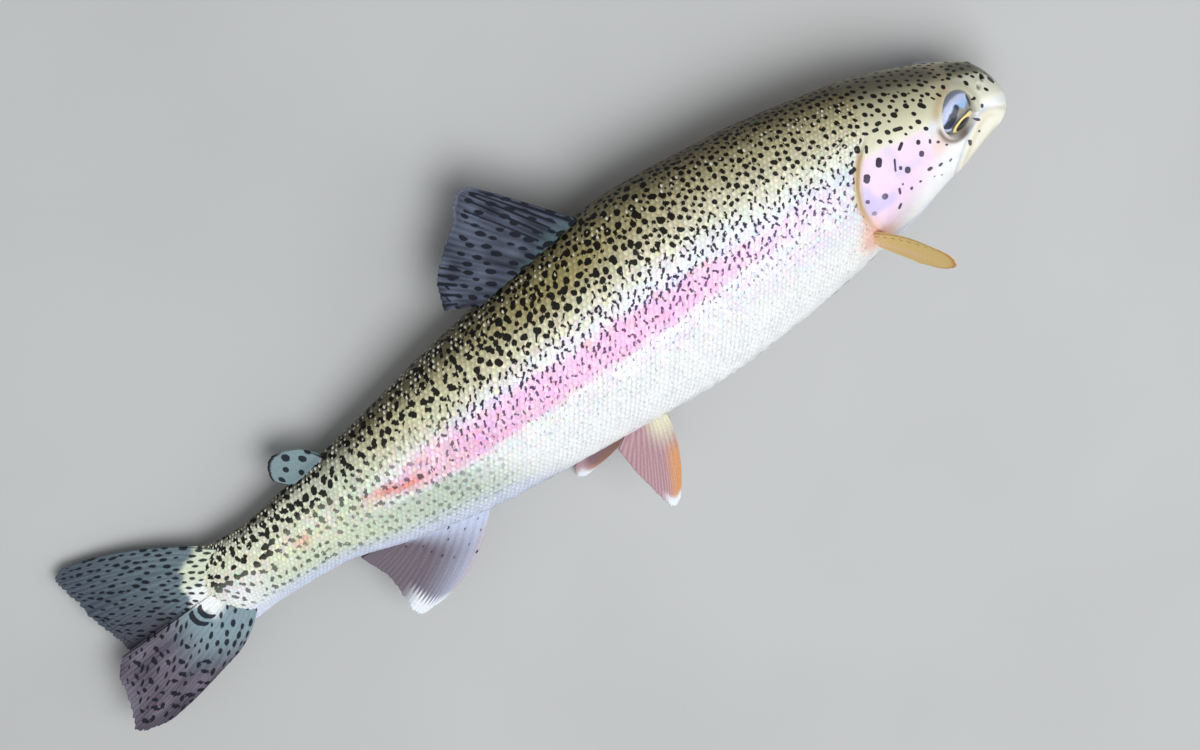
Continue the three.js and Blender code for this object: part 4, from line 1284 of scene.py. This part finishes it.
# Roots and edges run from the first ray to the last, as (s, p, q). The bow is the first ray's, at its middle.
FINS = {
    "dorsal_fin": {
        "root": [(0.455, 0.126, 0), (0.52, 0.112, 0), (0.575, 0.1, 0)],
        "edge": [
            (0.538, 0.224, -0.006), (0.5525, 0.2275, -0.007), (0.574, 0.1995, -0.006), (0.6, 0.1755, -0.005),
            (0.6175, 0.1565, -0.004), (0.63, 0.1225, -0.002),
        ],
        "bow": (0, 0.002, 0), "rays": 13, "slot": "dark_fin",
    },
    "adipose_fin": {
        "root": [(0.817, 0.038, 0), (0.835, 0.032, 0), (0.852, 0.026, 0)],
        "edge": [
            (0.8395, 0.067, 0), (0.8605, 0.075, 0), (0.873, 0.073, 0), (0.8805, 0.064, 0), (0.883, 0.051, 0),
            (0.8765, 0.044, 0),
        ],
        "bow": (0, 0, 0), "rays": 0, "slot": "dark_fin",
    },
    "anal_fin": {
        "root": [(0.697, -0.094, 0), (0.76, -0.086, 0), (0.812, -0.076, 0)],
        "edge": [
            (0.8185, -0.1805, -0.004), (0.8385, -0.181, -0.005), (0.8415, -0.158, -0.005),
            (0.8415, -0.122, -0.004), (0.8495, -0.095, -0.002), (0.854, -0.081, -0.001),
        ],
        "bow": (-0.004, -0.018, 0), "rays": 13, "slot": "pale_fin",
    },
    "caudal_fin_upper": {
        "root": [(0.972, 0.01, 0), (1.0, -0.004, 0), (1.01, -0.026, 0)],
        "edge": [
            (1.127, 0.0835, -0.002), (1.14, 0.0755, -0.003), (1.1365, 0.048, -0.004), (1.132, 0.0145, -0.005),
            (1.126, -0.011, -0.006), (1.1225, -0.032, -0.009), (1.122, -0.051, -0.011),
        ],
        "bow": (0, 0.0115, 0), "rays": 14, "slot": "dark_fin",
    },
    "caudal_fin_lower": {
        "root": [(0.975, -0.064, 0), (1.0, -0.05, 0), (1.01, -0.028, 0)],
        "edge": [
            (1.076, -0.109, 0.002), (1.129, -0.1305, 0.003), (1.155, -0.1265, 0.004), (1.1675, -0.12, 0.004),
            (1.1595, -0.0985, 0.005), (1.1515, -0.077, 0.006), (1.144, -0.053, 0.007), (1.131, -0.037, 0.006),
        ],
        "bow": (-0.004, -0.016, 0), "rays": 13, "slot": "dark_fin",
    },
    "pelvic_fin_right": {
        "root": PELVIC_ROOT,
        "edge": [
            (0.5245, -0.1975, 0.038), (0.534, -0.2025, 0.04), (0.539, -0.191, 0.04), (0.544, -0.17, 0.038),
            (0.549, -0.1465, 0.034), (0.553, -0.113, 0.024),
        ],
        "bow": (-0.009, 0, 0), "rays": 10, "slot": "pale_fin",
    },
    "pelvic_fin_left": {
        "root": mirrored(PELVIC_ROOT),
        "edge": [
            (0.586, -0.1625, -0.0545), (0.604, -0.167, -0.0575), (0.6085, -0.1575, -0.0555),
            (0.602, -0.143, -0.05), (0.588, -0.128, -0.042), (0.562, -0.114, -0.028),
        ],
        "bow": (-0.006, -0.004, 0), "rays": 10, "slot": "pale_fin",
    },
    "pectoral_fin_right": {
        "root": PECTORAL_ROOT,
        "edge": [
            (0.1645, -0.0325, 0.1385), (0.158, -0.0405, 0.148), (0.1565, -0.0555, 0.1435),
            (0.1625, -0.07, 0.122), (0.178, -0.0775, 0.083),
        ],
        "bow": (-0.003, 0.003, 0), "rays": 13, "slot": "amber_fin",
    },
    "pectoral_fin_left": {
        "root": mirrored(PECTORAL_ROOT),
        "edge": [
            (0.316, -0.081, -0.0625), (0.329, -0.0885, -0.063), (0.326, -0.098, -0.063),
            (0.308, -0.104, -0.0615), (0.272, -0.104, -0.0575),
        ],
        "bow": (0, -0.002, 0), "rays": 13, "slot": "amber_fin",
    },
}
FIN_OUT = 56
FIN_COLUMNS_A_RAY = 10
# Dark spots: spacing and radius in mm, stretch along the rays, and the shares of the way out to lie between.
FIN_SPOTS = {
    "dorsal_fin": (3.7, 1.0, 1.9, (0.03, 0.9)),
    "adipose_fin": (4.4, 1.4, 1.1, (0.15, 0.8)),
    "caudal_fin_upper": (2.5, 0.72, 1.9, (0.0, 0.97)),
    "caudal_fin_lower": (3.3, 0.86, 1.9, (0.0, 0.95)),
    "anal_fin": (5.0, 0.42, 1.8, (0.12, 0.42)),
}
SPOT_TRIES = 2500


def fin_sheet(fin, ray, out):
    """The fish's coordinates on a fin's middle sheet: ray and out run from 0 to 1."""
    root, edge = curve_through(fin["root"], ray), curve_through(fin["edge"], ray)
    bow = np.array(fin["bow"]) * ((1 - ray) ** 2 * 4 * out * (1 - out))[..., None]
    return root + (edge - root) * out[..., None] + bow


def ray_ridge(ray, out, rays):
    """From 0 between the rays to 1 on them. Each ray forks in two on its way out."""
    once = np.abs(np.cos(np.pi * rays * ray)) ** 1.5
    twice = np.abs(np.cos(2 * np.pi * rays * ray)) ** 1.5
    fork = rise(out, 0.35, 0.75)
    return once * (1 - fork) + twice * fork


def dorsal_marks(ray, out, along, across):
    """Dark webs between the dorsal fin's rays in front and at the outer rear, and a row near its base."""
    between_rays = -np.cos(2 * np.pi * 15 * ray) - 0.55 + 0.7 * noise(ray * 15, out * 2.6, 55)
    front = window(out, (0.12, 0.2), (0.9, 0.94)) * fade(ray, 0.34, 0.44)
    rear = rise(out, 0.66, 0.76) * rise(ray, 0.62, 0.7)
    webs = 0.8 * between_rays - 3 * (1 - np.maximum(front, rear))
    step_out = along - 4.2 - 1.2 * noise(ray * 9, 0 * ray, 56)
    row = 1.15 - np.hypot(np.abs((across + 1.5) % 6.0 - 3.0) / 1.6, step_out)
    return np.maximum(webs, row)


def lower_lobe_bars(ray, along):
    """Two bowed dark bars across the base of the tail fin's lower lobe."""
    off_middle = ray - 0.8
    tapered = 1.15 - 30 * np.maximum(np.abs(off_middle) - 0.15, 0)
    inner, outer = (tapered - np.abs(along - at + 70.0 * off_middle**2) for at in (8.8, 12.8))
    return np.maximum(inner, outer)


def fin_spots(name, ray, out, at):
    """Millimetres inside the nearest of the fin's dark marks, which are mostly drawn out along the rays."""
    depth = np.full(len(ray), -2.0)
    if name not in FIN_SPOTS:
        return depth
    spacing, radius, stretch, (low, high) = FIN_SPOTS[name]
    local = np.random.default_rng(sum(map(ord, name)))
    along, across = at["length"] * out, at["across"]
    on_lower_lobe = name == "caudal_fin_lower"
    kept = np.empty((0, 2))
    for _ in range(SPOT_TRIES):
        k = local.integers(len(ray))
        on_bars = on_lower_lobe and along[k] < 16.0 and abs(ray[k] - 0.8) < 0.22
        if not low < out[k] < high or on_bars:
            continue
        spot_at = np.array((along[k], across[k]))
        gaps = np.hypot((kept[:, 0] - spot_at[0]) / 1.25, kept[:, 1] - spot_at[1])
        if np.min(gaps, initial=np.inf) < spacing:
            continue
        kept = np.vstack([kept, spot_at])
        size = radius * local.uniform(0.7, 1.2)
        reach_along, reach_across = stretch, 1
        if on_lower_lobe and out[k] > 0.4 and local.uniform() < 0.42:
            size, reach_along, reach_across = 1.25 * size, 0.9, 1.9
        away = np.hypot((along - spot_at[0]) / reach_along, (across - spot_at[1]) / reach_across)
        depth = np.maximum(depth, size - away)
    if name == "dorsal_fin":
        depth = np.maximum(depth, dorsal_marks(ray, out, along, across))
    if on_lower_lobe:
        depth = np.maximum(depth, lower_lobe_bars(ray, along))
    return depth


def scaled_base(name, ray, out, along):
    """1 where the stalk's pale scaled skin runs out over the base of the tail fin."""
    ragged = along + 1.6 * noise(ray * 14, out * 3, 52)
    if name == "caudal_fin_upper":
        return fade(ragged, 9.0, 11.5)
    return fade(ragged, 6.5, 9.5) * rise(ray, 0.45, 0.75)


FIN_DARK = tone(22, 24, 34)
TEAL = tone(94, 118, 122)
FIN_WHITE = tone(234, 238, 244)
SLATE = tone(60, 65, 78)
SLATE_BLUE = tone(86, 93, 108) * 1.3


def fin_tints(name, ray, out, ridge, along):
    """A fin's colour under its marks."""
    ahead = fade(ray, 0.3, 0.5)
    on_base = scaled_base(name, ray, out, along)
    # Painted shade: the left pelvic fin, which lies in shade, gets less orange than the right one.
    orange_less_in_shade = 0.4 if name.endswith("left") else 0.85
    amber_line = bump(ray, 0.13, 0.022) * (np.sin(out * 62) > 0.1) * (out < 0.9)
    plans = {
        "dorsal_fin": (
            mixed(SLATE, SLATE_BLUE, 0.45 * ridge + 0.5 * noise(ray * 9, out * 6, 51)),
            (TEAL, 0.9 * fade(out, 0.06, 0.24)),
            (tone(120, 122, 134), 0.6 * rise(out, 0.96, 0.99) * ahead),
        ),
        "adipose_fin": (
            mixed(tone(136, 157, 161), TEAL, 0.6 * fade(out, 0.1, 0.5)),
            (tone(34, 36, 42), rise(out, 0.93, 0.97) * rise(ray, 0.1, 0.3)),
        ),
        "caudal_fin_upper": (
            mixed(tone(66, 72, 84), tone(122, 140, 146), np.clip(0.2 * ridge + 0.8 * (1 - out) ** 1.3, 0, 1)),
            # Painted shade: the upper lobe's lower rays are darker out from the base, where the tail's middle
            # lies in shade.
            (tone(76, 70, 80), 0.7 * rise(ray, 0.4, 0.9) * rise(out, 0.25, 0.6)),
            (mixed(STALK_GREEN, WHITE, rise(ray, 0.5, 0.8)), on_base),
        ),
        "caudal_fin_lower": (
            mixed(tone(90, 83, 95), tone(136, 128, 142), 0.3 * ridge + 0.4 * noise(ray * 10, out * 5, 53)),
            (tone(136, 156, 164), fade(out, 0.16, 0.6)),
            (WHITE, on_base),
        ),
        "anal_fin": (
            mixed(tone(106, 96, 106), tone(140, 130, 142), 0.3 * ridge),
            (tone(200, 208, 232), 1 - rise(out, 0.04, 0.4) * rise(ray, -0.25, 0.45)),
            (tone(210, 178, 172), 0.45 * fade(ray, 0.0, 0.07) * rise(out, 0.1, 0.3)),
            (FIN_WHITE, rise(out + 0.1 * ridge, 0.86, 0.94) * ahead),
        ),
        "pelvic_fin": (
            mixed(tone(170, 130, 138), tone(206, 178, 184), 0.45 * ridge),
            (tone(224, 220, 192), fade(out, 0.1, 0.5) * fade(ray, 0.3, 0.8)),
            (tone(222, 158, 100), orange_less_in_shade * fade(ray, 0.1, 0.42) * rise(out, 0.3, 0.55)),
            (FIN_WHITE, rise(out, 0.88, 0.95) * ahead),
        ),
        "pectoral_fin": (
            mixed(tone(222, 186, 112), tone(246, 222, 162), 0.45 * ridge),
            (tone(236, 190, 152), 0.8 * fade(out, 0.05, 0.3)),
            (tone(238, 196, 160), 0.6 * bump(ray, 0.62, 0.12) * fade(out, 0.5, 0.8)),
            (tone(96, 78, 46), 0.75 * amber_line),
            (tone(206, 128, 52), 0.6 * rise(out, 0.93, 1)),
        ),
    }
    tint = layered(*plans[name.removesuffix("_right").removesuffix("_left")])
    # Painted shade: the left pelvic fin is darker except at its tip.
    if name == "pelvic_fin_left":
        tint = tint * (1 - 0.45 * fade(out, 0.8, 0.9))[:, None]
    return tint


def fin_thickness(name, ray, out, ridge, local):
    """Half the fin's thickness in metres: thicker on the rays, and flared where it grows out of the body."""
    s, p, q = local.T
    if name.startswith("pectoral"):
        _, base_p, base_q = PECTORAL_BASE
        off_body = np.hypot(p - base_p, np.abs(q) - base_q)
    else:
        top, bottom = smooth_along(STATIONS, 1, s), smooth_along(STATIONS, 2, s)
        off_body = np.where(p > 0, p - top, bottom - p)
    flare = 1.3 * np.exp(-np.maximum(off_body, 0) * STANDARD_LENGTH / MM / 2.2)
    thick = 0.22 + 0.42 * (1 - out) + 0.055 * ridge * (1 - 0.4 * out)
    if name == "adipose_fin":
        thick = 0.35 + 1.0 * (1 - out)
    front_edge = np.minimum(rise(ray, -0.03, 0.02) + 0.25, 1)
    rear_edge = np.minimum(rise(1 - ray, -0.03, 0.02) + 0.25, 1)
    return (thick + flare) * MM * front_edge * rear_edge


def fin_faces(columns):
    """The front, the back and the rim of a fin whose two sides are stored one after the other."""
    total = columns * FIN_OUT
    front = grid_faces(columns, FIN_OUT)
    boundary = np.concatenate([
        np.arange(columns - 1) * FIN_OUT, (columns - 1) * FIN_OUT + np.arange(FIN_OUT - 1),
        np.arange(columns - 1, 0, -1) * FIN_OUT + FIN_OUT - 1, np.arange(FIN_OUT - 1, 0, -1),
    ])
    following = np.roll(boundary, -1)
    rim = np.stack([boundary, boundary + total, following + total, following], axis=1)
    return [front, front[:, ::-1] + total, rim]


def build_fin(name, fin, material):
    """A thin fin of two sides and a rim, with rays, a ragged edge and a slight wave."""
    rays = fin["rays"]
    columns = max(rays, 8) * FIN_COLUMNS_A_RAY + 1
    ray, out = crossed(np.linspace(0, 1, columns), np.linspace(0, 1, FIN_OUT))
    ridge = ray_ridge(ray, out, rays) if rays else np.zeros(len(ray))
    notch = 0.012 * (1 - ridge) * rise(out, 0.8, 1) if rays else 0.0
    ragged = 0.012 * noise(ray * 40, out * 2, 31) * rise(out, 0.7, 1)
    local = fin_sheet(fin, ray, out * (1 - notch - ragged))
    centre = place(*local.T)
    grid = centre.reshape(columns, FIN_OUT, 3)
    normal = np.cross(np.gradient(grid, axis=0), np.gradient(grid, axis=1)).reshape(-1, 3)
    normal /= np.maximum(np.linalg.norm(normal, axis=1, keepdims=True), 1e-12)
    lengths = np.linalg.norm(grid[:, -1] - grid[:, 0], axis=1)
    steps = np.linalg.norm(np.diff(grid, axis=0), axis=2)
    sweep = np.concatenate([np.zeros((1, FIN_OUT)), steps.cumsum(axis=0)])
    at = {"length": np.repeat(lengths, FIN_OUT) / MM, "across": sweep.ravel() / MM}
    along = at["length"] * out

    wave = 0.35 * MM * noise(ray * 6, out * 2.5, 33) * rise(out, 0.2, 1)
    centre = centre + normal * wave[:, None]
    stand_off = normal * fin_thickness(name, ray, out, ridge, local)[:, None]
    points = np.concatenate([centre + stand_off, centre - stand_off])
    points[:, 2] = np.maximum(points[:, 2], 0.0)
    flat = np.stack([ray, out], axis=1) * (0.48, 0.98)
    uvs = np.concatenate([flat + 0.01, flat + (0.51, 0.01)])
    piece = new_piece(f"{name}_web", points, fin_faces(columns), uvs)
    layers = {
        "tint": fin_tints(name, ray, out, ridge, along),
        "mark": fin_spots(name, ray, out, at),
        "ridge": ridge,
        "spread": np.stack([along, at["across"], 0 * out], axis=1),
    }
    give(piece, **{layer: np.concatenate([values, values]) for layer, values in layers.items()})
    piece.data.materials.append(material)
    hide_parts(name)
    return piece


def fin_material():
    n = Nodes("trout_fin")
    grain = n.noise(n.read("spread", "Vector"), 1.2, 3.0, 0.6)
    dark = n.step(n.frayed_mark(grain, 0.7), -0.15, 0.15, 0.0, 0.94)
    on_ridge = n.step(n.read("ridge"), 0.0, 1.0, 0.94, 1.04)
    shade = n.math("MULTIPLY", n.step(grain, 0.3, 0.7, 0.9, 1.08), on_ridge)
    return n.finish(
        Base_Color=n.mix(dark, n.shaded_tint(shade), (*FIN_DARK, 1)), Roughness=0.6,
        Specular_IOR_Level=0.1, Normal=n.bumps(grain, 0.15, 0.0003),
    )


# ---- Camera, floor and lights ----
# The camera's own axes, the place that it looks at in mm from the floor below the snout, and its distance.
CAMERA_RIGHT = (0.848, -0.468, 0.249)
CAMERA_UP = (0.53, 0.749, -0.398)
CAMERA_BACK = (0.0, 0.469, 0.883)
CAMERA_TARGET = (-188.4, -9.305, 30.0)
CAMERA_AWAY = 0.8
LENS, SENSOR = 63.12, 36
NEAREST_SHOWN = 0.01
FLOOR_HALF = 3
FLOOR_GREY, FLOOR_PALE = (0.5, 0.5, 0.495, 1), (0.53, 0.53, 0.525, 1)
SKY_COLOUR, SKY_STRENGTH = (0.9, 0.94, 1, 1), 0.34
# Area lights: name, place, aim and size in metres, power in watts, and colour.
LIGHTS = [
    ("key", (0.15, -0.24, 1.2), (0.06, 0, 0.03), (1.2, 1.1), 13.3, (0.97, 0.99, 1)),
    ("side", (1.1, -0.9, 0.8), (0.15, 0, 0.03), (0.9, 0.9), 3.0, (1, 0.99, 0.97)),
    ("fill", (-0.9, 0.9, 1.1), (0, 0, 0.03), (1.0, 1.0), 2.0, (0.95, 0.97, 1)),
]


def add_camera():
    """Looks down on the fish from over its back, rolled so that it lies across the frame's diagonal."""
    at = np.array(CAMERA_TARGET) * MM + SHIFT + np.array(CAMERA_BACK) * CAMERA_AWAY
    camera = bpy.data.objects.new("camera", bpy.data.cameras.new("camera"))
    camera.data.sensor_width = SENSOR
    camera.data.lens = LENS
    camera.data.clip_start = NEAREST_SHOWN
    turn = Matrix((CAMERA_RIGHT, CAMERA_UP, CAMERA_BACK)).transposed().to_4x4()
    camera.matrix_world = Matrix.Translation(Vector(at)) @ turn
    bpy.context.collection.objects.link(camera)
    bpy.context.scene.camera = camera


def add_area_light(name, at, aim, size, power, colour):
    light = bpy.data.lights.new(name, "AREA")
    light.shape = "RECTANGLE"
    light.size, light.size_y = size
    light.energy = power
    light.color = colour
    obj = bpy.data.objects.new(name, light)
    obj.location = at
    obj.rotation_euler = (Vector(aim) - Vector(at)).to_track_quat("-Z", "Y").to_euler()
    bpy.context.collection.objects.link(obj)


def add_floor():
    corners = [(x * FLOOR_HALF, y * FLOOR_HALF, 0) for x, y in ((-1, -1), (1, -1), (1, 1), (-1, 1))]
    floor = bpy.data.objects.new("floor", bpy.data.meshes.new("floor"))
    floor.data.from_pydata(corners, [], [(0, 1, 2, 3)])
    bpy.context.collection.objects.link(floor)
    n = Nodes("floor")
    cloudy = n.noise(n.add("ShaderNodeTexCoord").outputs["Object"], 6.0, 2.0)
    pale = n.mix(n.step(cloudy, 0.3, 0.7), FLOOR_GREY, FLOOR_PALE)
    floor.data.materials.append(n.finish(Base_Color=pale, Roughness=0.85))


def add_studio():
    """A pale matt floor, three soft lights and an even sky."""
    add_floor()
    for light in LIGHTS:
        add_area_light(*light)
    world = bpy.data.worlds.new("studio")
    world.use_nodes = True
    sky = world.node_tree.nodes["Background"].inputs
    sky["Color"].default_value = SKY_COLOUR
    sky["Strength"].default_value = SKY_STRENGTH
    bpy.context.scene.world = world
    bpy.context.scene.view_settings.view_transform = "Standard"


add_camera()
add_studio()
skin_look = skin_material()
build_skin().data.materials.append(skin_look)
for scale_piece in build_scales():
    scale_piece.data.materials.append(skin_look)
eye_look = eye_material()
for eye_side in (1, -1):
    build_eye(eye_side, eye_look)
fin_look = fin_material()
for fin_name, fin_facts in FINS.items():
    build_fin(fin_name, fin_facts, fin_look)
